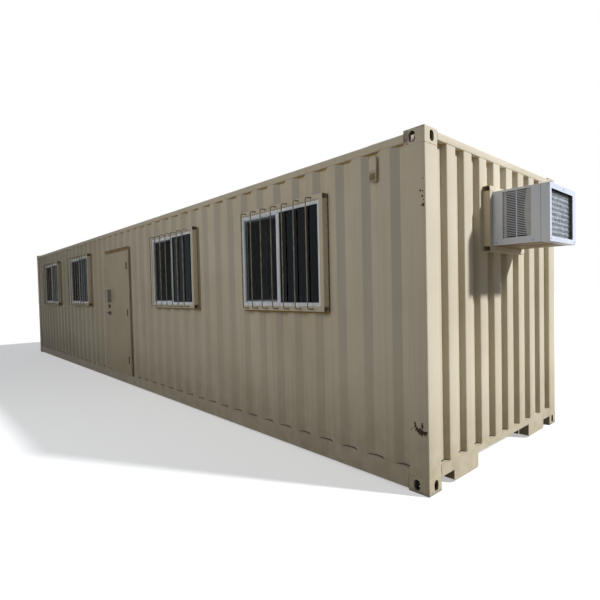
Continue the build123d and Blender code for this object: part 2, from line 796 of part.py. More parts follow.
# Lock guard: a steel box over the lock's case, open underneath for the key
lock_box_x = leaf_left + lock_box_edge + lock_box_width / 2
lock_box_front = -leaf_front - lock_box_depth
with BuildPart() as door_lock_guard:
    with Locations((lock_box_x, lock_box_front, lock_box_bottom)):
        Box(lock_box_width, lock_box_depth, lock_box_height, align=FRONT)
    with Locations((lock_box_x, lock_box_front + lock_box_wall, lock_box_bottom)):
        Box(
            lock_box_width - 2 * lock_box_wall,
            lock_box_depth - lock_box_wall,
            lock_box_height - lock_box_wall,
            align=FRONT,
            mode=Mode.SUBTRACT,
        )
door_lock_guard.part.label = "door_lock_guard"
export_step(door_lock_guard.part, "parts/door_lock_guard.step")

# --- Hinges ---

# Five knuckles to a hinge: the leaf's plate carries the first, third and fifth, the frame's plate the
# others and the pin. A plate is cut back behind the other plate's knuckles.
knuckle_pitch = (hinge_height + knuckle_gap) / knuckles
knuckle_height = knuckle_pitch - knuckle_gap
plate_edge = hinge_y + knuckle_radius + knuckle_gap / 2
plate_depth = plate_edge - hinge_y
hinge_sides = {
    "door_hinge_leaves": (leaf_right, 1, (0, 2, 4)),
    "frame_hinge_leaves": (leaf_right + hinge_gap, -1, (1, 3)),
}
for name, (edge_x, inward, rows) in hinge_sides.items():
    with BuildPart() as hinge_half:
        for middle in hinge_heights:
            foot = middle - hinge_height / 2
            plate_middle = edge_x + inward * hinge_plate / 2
            with Locations((plate_middle, plate_edge, foot)):
                Box(hinge_plate, hinge_plate_depth, hinge_height, align=FRONT)
            for row in rows:
                with Locations((hinge_x, hinge_y, foot + row * knuckle_pitch)):
                    Cylinder(knuckle_radius, knuckle_height, align=BOTTOM)
                with Locations((plate_middle, hinge_y, foot + row * knuckle_pitch)):
                    Box(hinge_plate, plate_depth, knuckle_height, align=FRONT)
            with Locations((hinge_x, hinge_y, foot)):
                if name == "door_hinge_leaves":
                    Cylinder(pin_radius + pin_clearance, hinge_height, align=BOTTOM, mode=Mode.SUBTRACT)
                else:
                    Cylinder(pin_radius, hinge_height, align=BOTTOM)
    hinge_half.part.label = name
    export_step(hinge_half.part, f"parts/{name}.step")

# --- Air conditioner ---

ac_centre_z = ac_bottom + ac_height / 2
ac_left = ac_y - ac_width / 2
ac_right = ac_y + ac_width / 2
ac_outer = end_face + ac_reach
ac_inner = end_lining_outside - lining - ac_inside
ac_opening_width = ac_width + 2 * ac_gap
ac_opening_height = ac_height + ac_gap

# Surround: the same tube as the windows', with a sill that carries the case
with BuildPart() as ac_surround:
    with BuildSketch(Plane.XZ.offset(-ac_y + ac_opening_width / 2 + surround_face)):
        with Locations((end_face + ac_surround_depth / 2, ac_bottom + ac_opening_height / 2)):
            with GridLocations(1, ac_opening_height + surround_face, 1, 2):
                Rectangle(ac_surround_depth, surround_face)
                Rectangle(ac_surround_depth - 2 * surround_wall, surround_bore, mode=Mode.SUBTRACT)
    extrude(amount=-ac_opening_width - 2 * surround_face)
    with BuildSketch(Plane.XY.offset(ac_bottom)):
        with Locations((end_face + ac_surround_depth / 2, ac_y)):
            with GridLocations(1, ac_opening_width + surround_face, 1, 2):
                Rectangle(ac_surround_depth, surround_face)
                Rectangle(ac_surround_depth - 2 * surround_wall, surround_bore, mode=Mode.SUBTRACT)
    extrude(amount=ac_opening_height)
ac_surround.part.label = "cooler_surround"
export_step(ac_surround.part, "parts/cooler_surround.step")

# Case: a folded steel wrapper, open below for the pan and in front for the coil, with two louvre
# openings in each side
face_width = ac_width - ac_face_side - ac_face_far_side
face_height = ac_height - ac_face_top - ac_face_bottom
louvre_x = ac_outer - louvre_from_face - louvre_width - louvre_post / 2
with BuildPart() as ac_case:
    with Locations((ac_inner, ac_left, ac_bottom)):
        Box(ac_outer - ac_inner, ac_width, ac_height, align=LOW)
    with Locations((ac_inner + ac_wall, ac_left + ac_wall, ac_bottom)):
        Box(
            ac_outer - ac_inner - 2 * ac_wall,
            ac_width - 2 * ac_wall,
            ac_height - ac_wall,
            align=LOW,
            mode=Mode.SUBTRACT,
        )
    with Locations((ac_outer - ac_wall, ac_left + ac_face_side, ac_bottom + ac_face_bottom)):
        Box(ac_wall, face_width, face_height, align=LOW, mode=Mode.SUBTRACT)
    with Locations((louvre_x, ac_y, ac_bottom + louvre_bottom)):
        with GridLocations(louvre_width + louvre_post, 1, 2, 1):
            Box(louvre_width, ac_width, louvre_height, align=BOTTOM, mode=Mode.SUBTRACT)
ac_case.part.label = "cooler_case"
export_step(ac_case.part, "parts/cooler_case.step")

with BuildPart() as ac_base_pan:
    with Locations((ac_inner + ac_wall, ac_left + ac_wall, ac_bottom)):
        Box(ac_outer - ac_inner - 2 * ac_wall, ac_width - 2 * ac_wall, ac_pan, align=LOW)
ac_base_pan.part.label = "cooler_base_pan"
export_step(ac_base_pan.part, "parts/cooler_base_pan.step")

# Coil: a finned block that stands on the pan behind the front opening
with BuildPart() as ac_coil:
    with Locations((ac_outer - ac_coil_setback - ac_coil_depth, ac_left + ac_wall, ac_bottom + ac_pan)):
        Box(ac_coil_depth, ac_width - 2 * ac_wall, ac_height - ac_wall - ac_pan, align=LOW)
ac_coil.part.label = "cooler_coil"
export_step(ac_coil.part, "parts/cooler_coil.step")

# --- Ventilator ---

# A pressed box riveted over small holes near the top of the door wall, shaped to the ribs behind it
with BuildPart() as wall_ventilator:
    with Locations((vent_x, -wall_face - vent_proud, vent_bottom)):
        Box(vent_width, vent_proud + side_depth, vent_height, align=FRONT)
    with BuildSketch(front_plane):
        with BuildLine():
            Polyline(*side_face, (side_clear / 2, -lining), (-side_clear / 2, -lining), close=True)
        make_face()
    extrude(amount=side_skin_height, mode=Mode.SUBTRACT)
wall_ventilator.part.label = "wall_ventilator"
export_step(wall_ventilator.part, "parts/wall_ventilator.step")
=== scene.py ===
import math

import bmesh
import bpy
from mathutils import Matrix, Vector


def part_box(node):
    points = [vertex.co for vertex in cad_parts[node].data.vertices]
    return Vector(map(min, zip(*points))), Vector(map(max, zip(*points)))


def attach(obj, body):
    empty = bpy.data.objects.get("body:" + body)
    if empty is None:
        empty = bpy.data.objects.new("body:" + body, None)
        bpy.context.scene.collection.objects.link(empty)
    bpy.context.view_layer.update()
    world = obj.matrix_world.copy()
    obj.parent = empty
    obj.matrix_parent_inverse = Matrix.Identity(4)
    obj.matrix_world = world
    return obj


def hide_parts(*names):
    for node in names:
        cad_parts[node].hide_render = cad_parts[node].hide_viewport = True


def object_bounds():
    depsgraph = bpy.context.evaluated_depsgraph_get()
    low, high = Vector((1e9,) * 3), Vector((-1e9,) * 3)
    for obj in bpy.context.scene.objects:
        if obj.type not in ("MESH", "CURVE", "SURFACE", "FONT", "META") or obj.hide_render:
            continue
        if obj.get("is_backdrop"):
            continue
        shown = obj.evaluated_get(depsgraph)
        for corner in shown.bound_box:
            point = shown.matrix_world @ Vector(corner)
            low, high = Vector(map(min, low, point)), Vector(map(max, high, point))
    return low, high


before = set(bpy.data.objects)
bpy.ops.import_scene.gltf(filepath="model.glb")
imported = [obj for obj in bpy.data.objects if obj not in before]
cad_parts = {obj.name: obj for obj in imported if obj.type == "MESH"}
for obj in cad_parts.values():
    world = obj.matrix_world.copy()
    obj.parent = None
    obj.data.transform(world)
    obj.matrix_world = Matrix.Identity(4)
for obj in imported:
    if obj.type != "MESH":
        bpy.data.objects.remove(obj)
cad_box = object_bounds()
scene = bpy.context.scene

# --- Corner castings ---
# Hollow cast steel blocks at the eight corners, welded to the posts and rails and sprayed with the
# cabin's beige enamel. Twistlocks and forks have knocked it off them and off the near post.


def linear(colour):
    """An sRGB hex colour as the linear RGBA that shaders take."""
    shares = [int(colour[start:start + 2], 16) / 255 for start in (1, 3, 5)]
    return [s / 12.92 if s <= 0.04045 else ((s + 0.055) / 1.055) ** 2.4 for s in shares] + [1.0]


class Link:
    """What a node gives, to fill the inputs of other nodes. A sum on it adds the nodes that do it."""

    def __init__(self, tree, node, output=None):
        given = [socket for socket in node.outputs if socket.enabled]
        self.tree = tree
        self.node = node
        self.output = node.outputs[output] if output else given[0] if given else None

    def __getitem__(self, output):
        return Link(self.tree, self.node, output)

    def __add__(self, other):
        return maths("ADD", self, other)

    def __sub__(self, other):
        return maths("SUBTRACT", self, other)

    def __mul__(self, other):
        return maths("MULTIPLY", self, other)

    def __truediv__(self, other):
        return maths("DIVIDE", self, other)


def fill(node, inputs):
    """Fills a node's inputs, by name or in order, with values or links."""
    sockets = [socket for socket in node.inputs if socket.enabled]
    for key, value in inputs.items() if isinstance(inputs, dict) else enumerate(inputs):
        socket = sockets[key] if isinstance(key, int) else next(s for s in sockets if s.name == key)
        several = isinstance(value, list) and isinstance(value[0], Link)
        for source in value if several else [value]:
            if isinstance(source, Link):
                source.tree.links.new(source.output, socket)
            else:
                socket.default_value = source


def add(tree, kind, inputs=(), **settings):
    """Adds a node with its settings, and fills its inputs."""
    node = tree.nodes.new(kind)
    for name, value in settings.items():
        setattr(node, name, value)
    fill(node, inputs)
    return Link(tree, node)


def maths(operation, *values, **settings):
    """A sum on up to three values, of which one at least is a link."""
    tree = next(value.tree for value in values if isinstance(value, Link))
    return add(tree, "ShaderNodeMath", values, operation=operation, **settings)


def ramp(value, start, end, first=0.0, last=1.0, **settings):
    """Carries a value from one range over to another."""
    return add(value.tree, "ShaderNodeMapRange", [value, start, end, first, last], **settings)


def split(place):
    """The x, y and z of a place."""
    return add(place.tree, "ShaderNodeSeparateXYZ", [place])


def distance(place, centre):
    """How far a place is from a centre."""
    return add(place.tree, "ShaderNodeVectorMath", [place, centre], operation="DISTANCE")["Value"]


def noise(place, size, detail, **more):
    """Noise with features of a real size, or of a size along each of x, y and z."""
    tree = place.tree
    if isinstance(size, tuple):
        place = add(tree, "ShaderNodeMapping", {"Vector": place, "Scale": [1 / side for side in size]})
        size = 1.0
    return add(tree, "ShaderNodeTexNoise", {"Vector": place, "Scale": 1 / size, "Detail": detail, **more})


def mixed(share, first, second):
    """A blend of two colours, each a hex value or a link."""
    first, second = (linear(c) if isinstance(c, str) else c for c in (first, second))
    return add(share.tree, "ShaderNodeMix", {"Factor": share, "A": first, "B": second}, data_type="RGBA")


def bump(height, strength, distance, over=None, invert=False):
    """A surface raised by a height, over one that is already bumped."""
    inputs = {"Height": height, "Strength": strength, "Distance": distance}
    if over:
        inputs["Normal"] = over
    return add(height.tree, "ShaderNodeBump", inputs, invert=invert)


def new_finish(name, colour, roughness, metallic=0.0):
    """A material with one shader: the material, its shader and the place on the piece."""
    finish = bpy.data.materials.new(name)
    finish.use_nodes = True
    shader = finish.node_tree.nodes["Principled BSDF"]
    fill(shader, {"Base Color": linear(colour), "Roughness": roughness, "Metallic": metallic})
    return finish, shader, add(finish.node_tree, "ShaderNodeTexCoord")["Object"]


# The beige as it was sprayed, and where it has faded
beige = ("#D3C8B1", "#C8BCA3")


def enamel(name, chips=0.0, knocks=(), dusty=0.35, painted_shade_depth=0.0, stain=None, painted_side_shade=False, shades=beige):
    """Alkyd enamel sprayed on steel: semi-matt, faded in clouds, streaked by rain, dusty near the
    ground. Chips are how readily it has come off, and knocks the places and radii of bare patches. The
    painted shade depth is how far the AO looks into a hole that it darkens as painted shade. A stain is
    the place, radius, colour and specks of a bloom in the paint. Painted side shade greys faces that look
    towards +X."""
    finish, shader, place = new_finish(name, "#CEC2A9", 0.6)
    fill(shader, {"Specular IOR Level": 0.3})
    height = split(place)["Z"]

    # It has faded in clouds about 0.7 m across
    cloudy = ramp(noise(place, 0.7, 3.0), 0.35, 0.7)
    colour = mixed(cloudy, *shades)

    # Rain has drawn streaks about 40 mm wide and 1.5 m long down it
    streaky = ramp(noise(place, (0.04, 0.04, 1.5), 2.0), 0.5, 0.8, 0.0, 0.3)
    colour = mixed(streaky, colour, "#AFA286")

    # Painted shade: faces that look towards +X are greyed, most of all high up and near that end
    if painted_side_shade:
        normal = add(place.tree, "ShaderNodeTexCoord")["Normal"]
        facing = ramp(split(normal)["X"], 0.15, 0.45, 0.0, 0.55)
        high = ramp(height, 0.5, 2.0, 0.3, 1.0)
        near = ramp(split(place)["X"], -1.0, 4.5, 0.15, 1.0)
        colour = mixed(facing * (high * near), colour, "#ACABA5")

    # Splashed dust thins out over the lowest 0.8 m
    low = ramp(height, 0.8, 0.0, interpolation_type="SMOOTHSTEP")
    grains = noise(place, 0.12, 5.0)
    dust = maths("MULTIPLY", low * grains, 2 * dusty, use_clamp=True)
    colour = mixed(dust, colour, "#877755")

    # The steel is beaten gently out of flat, about 4 mm in half a metre. The spray leaves an orange
    # peel of about 1 mm, drawn at 6 mm because a finer one wouldn't show.
    beaten = bump(noise(place, 0.5, 1.0), 1.0, 0.004)
    surface = bump(noise(place, 0.006, 1.0), 0.25, 0.0006, beaten)

    # A bloom thins out from its place, and is specked where it lies thickest
    if stain:
        centre, radius, blooming, specked = stain
        bloom = ramp(distance(place, centre), radius, 0.3 * radius, 0.0, 1.5)
        colour = mixed(bloom * grains, colour, blooming)
        pits = ramp(noise(place, 0.007, 3.0), 0.52, 0.6, 0.0, 0.6)
        specks = maths("MULTIPLY", pits, bloom, use_clamp=True)
        colour = mixed(specks, colour, specked)

    # Chips are 10 to 60 mm across with ragged edges, and the bare steel in them has rusted dark brown
    if chips or knocks:
        edge = 0.78 - 0.2 * chips
        bare = ramp(noise(place, 0.05, 6.0), edge, edge + 0.02)
        push = noise(place, (0.014, 0.014, 0.03), 5.0, Roughness=0.75)
        for centre, radius in knocks:
            reach = maths("MULTIPLY_ADD", push, 4 * radius, -radius)
            knocked = maths("LESS_THAN", distance(place, centre), reach)
            bare = maths("MAXIMUM", bare, knocked)
        rust = mixed(noise(place, 0.012, 4.0), "#1C1712", "#4B3A2A")
        colour = mixed(bare, colour, rust)
        fill(shader, {"Roughness": ramp(bare, 0.0, 1.0, 0.6, 0.9)})
        surface = bump(bare, 0.6, 0.0012, surface, invert=True)

    # Painted shade: deep in the holes, where the AO sees little open sky, the colour is darkened to near
    # black
    if painted_shade_depth:
        open_sky = add(place.tree, "ShaderNodeAmbientOcclusion", {"Distance": painted_shade_depth}, samples=16)["AO"]
        painted_hole_shade = ramp(open_sky, 0.68, 0.34)
        colour = mixed(painted_hole_shade, colour, "#17130F")
    fill(shader, {"Base Color": colour, "Normal": surface})
    return finish


def coat(finish, *names):
    """Gives CAD nodes a finish."""
    for name in names:
        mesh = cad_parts[name].data
        mesh.materials.clear()
        mesh.materials.append(finish)


low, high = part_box("bottom_corner_castings")
near_corner = Vector((high.x, low.y, 0))
# Places along the cabin and up from the near bottom corner, on its long side, and their radii
scrapes = [
    (-0.091, 0.463, 0.018), (-0.074, 0.455, 0.023), (-0.054, 0.449, 0.023), (-0.036, 0.446, 0.016),
    (-0.020, 0.456, 0.010), (-0.113, 0.506, 0.010), (-0.108, 0.488, 0.010), (-0.105, 0.474, 0.006),
    (-0.052, 0.512, 0.007), (-0.051, 0.497, 0.009), (-0.052, 0.482, 0.007), (-0.128, 0.470, 0.005),
    (-0.144, 0.455, 0.005), (-0.019, 2.227, 0.005), (-0.041, 2.145, 0.006), (-0.020, 2.140, 0.006),
    (-0.026, 2.105, 0.007), (-0.017, 2.078, 0.005), (-0.024, 2.044, 0.011),
]
scuffs = [
    (-0.160, 2.513, 0.004), (-0.144, 2.487, 0.004), (-0.052, 2.578, 0.003), (-0.105, 2.588, 0.004),
    (-0.080, 2.591, 0.007), (-0.058, 2.592, 0.007), (-0.034, 2.592, 0.008), (-0.014, 2.588, 0.006),
]
scrapes, scuffs = (
    [(near_corner + Vector((along, 0, up)), radius) for along, up, radius in marks]
    for marks in (scrapes, scuffs)
)
knocked_enamel = enamel("sprayed enamel on steel, knocked to rust in places", chips=0.12, knocks=scrapes)
rusty_bloom = (near_corner + Vector((-0.160, 0, 2.540)), 0.065, "#6B5148", "#33261F")
# The castings' holes are darkened as painted shade
cast_enamel = enamel(
    "sprayed enamel on cast steel", chips=0.3, knocks=scuffs, painted_shade_depth=0.1, stain=rusty_bloom
)
coat(cast_enamel, "bottom_corner_castings", "top_corner_castings")


def round_edges(piece, width, segments):
    """Rounds a piece's sharp edges."""
    rounding = piece.modifiers.new("rounded edges", "BEVEL")
    rounding.width = width
    rounding.segments = segments
    rounding.limit_method = "ANGLE"
    rounding.angle_limit = math.radians(60)


for name in ("bottom_corner_castings", "top_corner_castings"):
    round_edges(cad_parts[name], 0.007, 3)

# --- Posts and rails ---
# Steel tubes with rounded corners, cut square and butted between the castings. They are welded all
# round before the walls go in, and sprayed with them.


def new_tree(name, lengths, **others):
    """A Geometry Nodes tree and what its Group Input gives. It has a named input for each length, for
    its other sizes of their kinds, and for its places and finish."""
    tree = bpy.data.node_groups.new(name, "GeometryNodeTree")
    tree.interface.new_socket("Shape", in_out="OUTPUT", socket_type="NodeSocketGeometry")
    kinds = {"Places": "Geometry", **dict.fromkeys(lengths.split(", "), "Float"), **others}
    for size, kind in {**kinds, "Finish": "Material"}.items():
        tree.interface.new_socket(size, in_out="INPUT", socket_type="NodeSocket" + kind)
    return tree, add(tree, "NodeGroupInput")


def end_tree(sizes, shape):
    """Ends a tree: its instances become real mesh and take the finish."""
    real = add(sizes.tree, "GeometryNodeRealizeInstances", [shape])
    coated = add(sizes.tree, "GeometryNodeSetMaterial", {"Geometry": real, "Material": sizes["Finish"]})
    add(sizes.tree, "NodeGroupOutput", [coated])


def copies(points, shape, **more):
    """A shape at each of some points."""
    return add(points.tree, "GeometryNodeInstanceOnPoints", {"Points": points, "Instance": shape, **more})


def turned_at_places(sizes, shape):
    """A shape at each of a tree's places, turned by its Turn."""
    turn = add(sizes.tree, "FunctionNodeEulerToRotation", [sizes["Turn"]])
    return copies(sizes["Places"], shape, Rotation=turn)


def settle(piece):
    """Makes a piece's modifiers part of its mesh, faces it outwards and smooths its shallow edges."""
    finish = piece.data.materials[0]
    settled = bpy.data.meshes.new_from_object(piece.evaluated_get(bpy.context.evaluated_depsgraph_get()))
    piece.modifiers.clear()
    piece.data = settled
    shell = bmesh.new()
    shell.from_mesh(settled)
    bmesh.ops.remove_doubles(shell, verts=shell.verts, dist=0.00001)
    bmesh.ops.recalc_face_normals(shell, faces=shell.faces)
    shell.to_mesh(settled)
    shell.free()
    settled.materials.clear()
    settled.materials.append(finish)
    settled.shade_smooth()
    settled.set_sharp_from_angle(angle=math.radians(35))
    return piece


def new_piece(name, finish, points, edges=(), faces=()):
    """An object in the scene with a finish and with its place in its mesh."""
    mesh = bpy.data.meshes.new(name)
    mesh.from_pydata([tuple(point) for point in points], edges, faces)
    mesh.materials.append(finish)
    piece = bpy.data.objects.new(name, mesh)
    scene.collection.objects.link(piece)
    return piece


def grow(name, finish, tree, places, edges=(), **sizes):
    """A mesh that a tree grows at places, or along the edges between them."""
    piece = new_piece(name, finish, places, edges)
    modifier = piece.modifiers.new("shape", "NODES")
    modifier.node_group = tree
    values = {size.replace("_", " ").capitalize(): value for size, value in sizes.items()}
    values["Finish"] = finish
    for socket in tree.interface.items_tree:
        if socket.in_out == "INPUT" and socket.name in values:
            modifier[socket.identifier] = values[socket.name]
    return settle(piece)


def join(name, *pieces):
    """Makes pieces one piece."""
    with bpy.context.temp_override(active_object=pieces[0], selected_editable_objects=pieces):
        bpy.ops.object.join()
    pieces[0].name = name
    return pieces[0]


def fix(piece, *replaced, body="cabin", slot="cabin_paint"):
    """A finished piece rides on a body, and may stand for CAD nodes. Its slot is not used."""
    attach(piece, body)
    if replaced:
        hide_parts(*replaced)


def vector(tree, x=0.0, y=0.0, z=0.0):
    """A place or a move from its x, y and z."""
    return add(tree, "ShaderNodeCombineXYZ", [x, y, z])


def rounded(curve, steps, radius):
    """A curve with its corners rounded in a few steps."""
    inputs = {"Curve": curve, "Count": steps, "Radius": radius, "Limit Radius": True}
    return add(curve.tree, "GeometryNodeFilletCurve", inputs, mode="POLY")


def rounded_outline(width, depth, steps, corner):
    """A rectangle with rounded corners."""
    outline = add(width.tree, "GeometryNodeCurvePrimitiveQuadrilateral", {"Width": width, "Height": depth})
    return rounded(outline, steps, corner)


def extruded(mesh, length, mode="EDGES", **more):
    """A mesh's edges or faces drawn out along Z."""
    step = vector(mesh.tree, z=length)
    inputs = {"Mesh": mesh, "Offset": step, "Offset Scale": 1.0, **more}
    return add(mesh.tree, "GeometryNodeExtrudeMesh", inputs, mode=mode)


def drawn_out(section, length):
    """A flat section drawn out to a length, as a closed shape."""
    sides = extruded(section, length, "FACES", Individual=False)
    whole = add(section.tree, "GeometryNodeJoinGeometry", [[sides, section]])
    return add(section.tree, "GeometryNodeMergeByDistance", {"Geometry": whole, "Distance": 0.00001})


# A rectangular tube or frame: an outline and a bore with rounded corners, drawn out to a length
tube, sizes = new_tree("rectangular tube", "Width, Depth, Wall, Corner, Length", Turn="Vector")
outer = rounded_outline(sizes["Width"], sizes["Depth"], 4, sizes["Corner"])
bore_width, bore_depth = (sizes[side] - sizes["Wall"] * 2.0 for side in ("Width", "Depth"))
bore_corner = maths("MAXIMUM", sizes["Corner"] - sizes["Wall"], 0.0005)
bore = rounded_outline(bore_width, bore_depth, 4, bore_corner)
outlines = add(tube, "GeometryNodeJoinGeometry", [[outer, bore]])
section = add(tube, "GeometryNodeFillCurve", [outlines], mode="TRIANGLES")
end_tree(sizes, turned_at_places(sizes, drawn_out(section, sizes["Length"])))

# Which way a tube's length runs when it is turned
UPRIGHT = (0, 0, 0)
ALONG_X = (0, math.pi / 2, 0)
ALONG_Y = (-math.pi / 2, 0, 0)
OUTWARDS = (math.pi / 2, 0, 0)

post_width = 0.170
post_depth = 0.164
low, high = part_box("corner_posts")
post_places = [
    (end * (high.x - post_width / 2), side * (high.y - post_depth / 2), low.z)
    for end in (1, -1) for side in (1, -1)
]
posts = grow(
    "pressed_corner_posts", knocked_enamel, tube, post_places,
    width=post_width, depth=post_depth, wall=0.006, corner=0.011, length=high.z - low.z, turn=UPRIGHT,
)
fix(posts, "corner_posts")

rail_side = 0.060
rail = dict(width=rail_side, depth=rail_side, wall=0.003, corner=0.007)
low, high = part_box("top_side_rails")
places = [(low.x, side * (high.y - rail_side / 2), high.z - rail_side / 2) for side in (1, -1)]
rails = grow(
    "rounded_top_side_rails", knocked_enamel, tube, places, length=high.x - low.x, turn=ALONG_X, **rail
)
fix(rails, "top_side_rails")

low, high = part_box("top_end_rails")
places = [(end * (high.x - rail_side / 2), low.y, high.z - rail_side / 2) for end in (1, -1)]
rails = grow(
    "rounded_top_end_rails", knocked_enamel, tube, places, length=high.y - low.y, turn=ALONG_Y, **rail
)
fix(rails, "top_end_rails")

coat(knocked_enamel, "floor_side_rails", "end_sills")

# --- Floor ---
# Pressed steel channels cross the floor between the rails, with an arch of plates for a lorry's
# gooseneck at each end. Plywood sheets are screwed down on them.

underside_enamel = enamel("sprayed enamel on steel, splashed from the road", chips=0.35, dusty=0.9)
coat(underside_enamel, "floor_joists", "tunnel_plates")


def jointed_board(name, face, shade, joint, board, figure, roughness, upright):
    """Boards butted together with dark joints, each board (wide, long). The figure on their faces is
    (wide, long) too. Upright ones stand along the walls, and others lie flat across the cabin."""
    finish, shader, place = new_finish(name, face, roughness)
    spot = split(place)
    along, up = (spot["X"] + spot["Y"], spot["Z"]) if upright else (spot["X"], spot["Y"])
    flat = vector(place.tree, along, up)
    boards = {"Vector": flat, "Scale": 1.0, "Mortar Size": 0.002, "Mortar Smooth": 0.3}
    boards.update({"Brick Width": board[0], "Row Height": board[1]})
    joints = add(place.tree, "ShaderNodeTexBrick", boards, offset=0.0)["Fac"]
    shown = ramp(noise(flat, (*figure, 1.0), 5.0, Distortion=0.4), 0.35, 0.7)
    colour = mixed(joints, mixed(shown, face, shade), joint)
    fill(shader, {"Base Color": colour, "Normal": bump(joints, 1.0, 0.002, invert=True)})
    return finish


# Rotary-cut birch ply under varnish: warm brown, with its figure drawn out across the cabin
plywood = jointed_board(
    "varnished plywood", "#9A7648", "#7C5A35", "#2B1E12", (1.22, 2.44), (0.03, 0.5), 0.45, upright=False
)
coat(plywood, "floor_boards")

# --- Walls ---
# Sheets of 2 mm steel folded into ribs in a press, butted into walls and welded in between the posts
# and rails. The holes for the windows, door and air conditioner were cut through them afterwards.

sheet = 0.002
wall_enamel = enamel("sprayed enamel on folded steel sheet")
# The long walls' enamel carries painted shade on the rib faces that look towards +X
x_shaded_enamel = enamel("sprayed enamel on folded steel sheet, chalked by the sun", painted_side_shade=True)


def ribbed_section(sizes):
    """The outline of a ribbed sheet seen from above. It starts and ends with a valley, at Clear apart,
    and each of its ribs has four folds, with its crest out along -Y."""
    tree = sizes.tree
    last = sizes["Ribs"] * 4.0 + 1.0
    straight = add(tree, "GeometryNodeCurvePrimitiveLine")
    folds = add(tree, "GeometryNodeResampleCurve", {"Curve": straight, "Count": last + 1.0})
    index = add(tree, "GeometryNodeInputIndex")

    # Each fold lies half a crest from its rib's middle, and the low ones a slope further
    fold = index - 1.0
    rib = maths("FLOOR", fold / 4.0)
    side = fold - rib * 4.0 - 1.5
    low = maths("GREATER_THAN", maths("ABSOLUTE", side), 1.0)
    reach = sizes["Crest"] * 0.5 + low * sizes["Slope"]
    middle = (rib - (sizes["Ribs"] - 1.0) * 0.5) * sizes["Pitch"]
    along = middle + maths("SIGN", side) * reach

    # The first point and the last are the ends of the sheet
    half_last = last * 0.5
    from_middle = index - half_last
    at_end = maths("LESS_THAN", half_last - maths("ABSOLUTE", from_middle), 0.5)
    end = maths("SIGN", from_middle) * (sizes["Clear"] * 0.5)
    x = add(tree, "ShaderNodeMix", {"Factor": at_end, "A": along, "B": end}, data_type="FLOAT")
    y = (low - 1.0) * sizes["Depth"]
    corners = add(tree, "GeometryNodeSetPosition", {"Geometry": folds, "Position": vector(tree, x, y)})
    return rounded(corners, 3, sizes["Bend"])


rib_lengths = "Clear, Pitch, Crest, Slope, Depth, Bend"
ribbed_wall, sizes = new_tree("ribbed wall sheet", rib_lengths + ", Height", Ribs="Int", Turn="Vector")
folded = add(ribbed_wall, "GeometryNodeCurveToMesh", {"Curve": ribbed_section(sizes)})
end_tree(sizes, turned_at_places(sizes, extruded(folded, sizes["Height"])))


def swept(curve, sides, radius, **more):
    """A round section swept along a curve, with closed ends."""
    tree = curve.tree
    circle = add(tree, "GeometryNodeCurvePrimitiveCircle", {"Resolution": sides, "Radius": radius})
    inputs = {"Curve": curve, "Profile Curve": circle, "Fill Caps": True, **more}
    return add(tree, "GeometryNodeCurveToMesh", inputs)


# Sealant is gunned into the corner between a wall's valleys and the rails. It follows the ribs less
# deeply than they are pressed, so that it tails off into their slopes.
sealant_run, sizes = new_tree(
    "sealant along a ribbed sheet", rib_lengths + ", Radius", Ribs="Int", Turn="Vector"
)
end_tree(sizes, turned_at_places(sizes, swept(ribbed_section(sizes), 6, sizes["Radius"])))

# Polyurethane sealant: amber high up, a painted glow of warm light from below under the roof rail, and dark
# low down, painted shade in the ledge at the floor rail
sealant, shader, place = new_finish("polyurethane sealant with painted glow and shade", "#B08C3C", 0.7)
amber_glow = mixed(noise(place, 0.06, 4.0), "#9A7829", "#C9A048")
low_shade = ramp(split(place)["Z"], 1.2, 0.6)
fill(shader, {"Base Color": mixed(low_shade, amber_glow, "#3B3438")})


def cut(piece, holes):
    """Cuts box-shaped holes through a piece."""
    points = []
    faces = []
    for low, high in holes:
        for side in ((0, 2, 3, 1), (4, 5, 7, 6), (0, 1, 5, 4), (2, 6, 7, 3), (0, 4, 6, 2), (1, 3, 7, 5)):
            faces.append([len(points) + corner for corner in side])
        points += [
            (x, y, z) for z in (low[2], high[2]) for y in (low[1], high[1]) for x in (low[0], high[0])
        ]
    cutter = new_piece("cutter", piece.data.materials[0], points, [], faces)
    hole = piece.modifiers.new("holes", "BOOLEAN")
    hole.object = cutter
    hole.operation = "DIFFERENCE"
    hole.solver = "EXACT"
    settle(piece)
    bpy.data.objects.remove(cutter)


def thicken(piece, thickness):
    """Makes a sheet of a piece, half to each side of its faces."""
    thick = piece.modifiers.new("sheet", "SOLIDIFY")
    thick.thickness = thickness
    thick.offset = 0
    return thick


def wall(name, finish, heading, ribs, foot, top, holes, *replaced):
    """A ribbed wall from its foot to its top with sealant along both, turned to a heading."""
    turn = (0, 0, heading)
    pressed = grow(name, finish, ribbed_wall, [foot], turn=turn, height=top - foot.z, **ribs)
    thicken(pressed, sheet).use_even_offset = True
    settle(pressed)
    outside = Matrix.Rotation(heading, 3, "Z") @ Vector((0, -sheet - sealant_radius / 2, 0))
    runs = [Vector((foot.x, foot.y, up)) + outside for up in (foot.z, top)]
    shallower = {**ribs, "depth": ribs["depth"] - 2 * sealant_radius, "radius": sealant_radius}
    line = grow(name + "_sealant", sealant, sealant_run, runs, turn=turn, **shallower)
    if holes:
        cut(pressed, holes)
        cut(line, holes)
    fix(pressed, *replaced)
    fix(line)


sealant_radius = 0.006
side_ribs = dict(clear=11.852, ribs=42, pitch=0.2806, crest=0.082, slope=0.066, depth=0.036, bend=0.014)
end_ribs = dict(clear=2.110, ribs=8, pitch=0.248, crest=0.122, slope=0.018, depth=0.045, bend=0.010)
reach = 0.2

# The door wall has the doorway and the four windows cut through it
low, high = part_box("door_wall_left")
openings = [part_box(name) for name in ("door_frame", *(f"window_frame_{number}" for number in range(1, 5)))]
holes = [((a.x, a.y - reach, a.z), (b.x, b.y + reach, b.z)) for a, b in openings]
foot = Vector((0, high.y - sheet / 2, low.z))
side_names = ("door_wall_left", "door_wall_right", "door_wall_over_door")
wall("ribbed_door_wall", x_shaded_enamel, 0, side_ribs, foot, high.z, holes, *side_names)

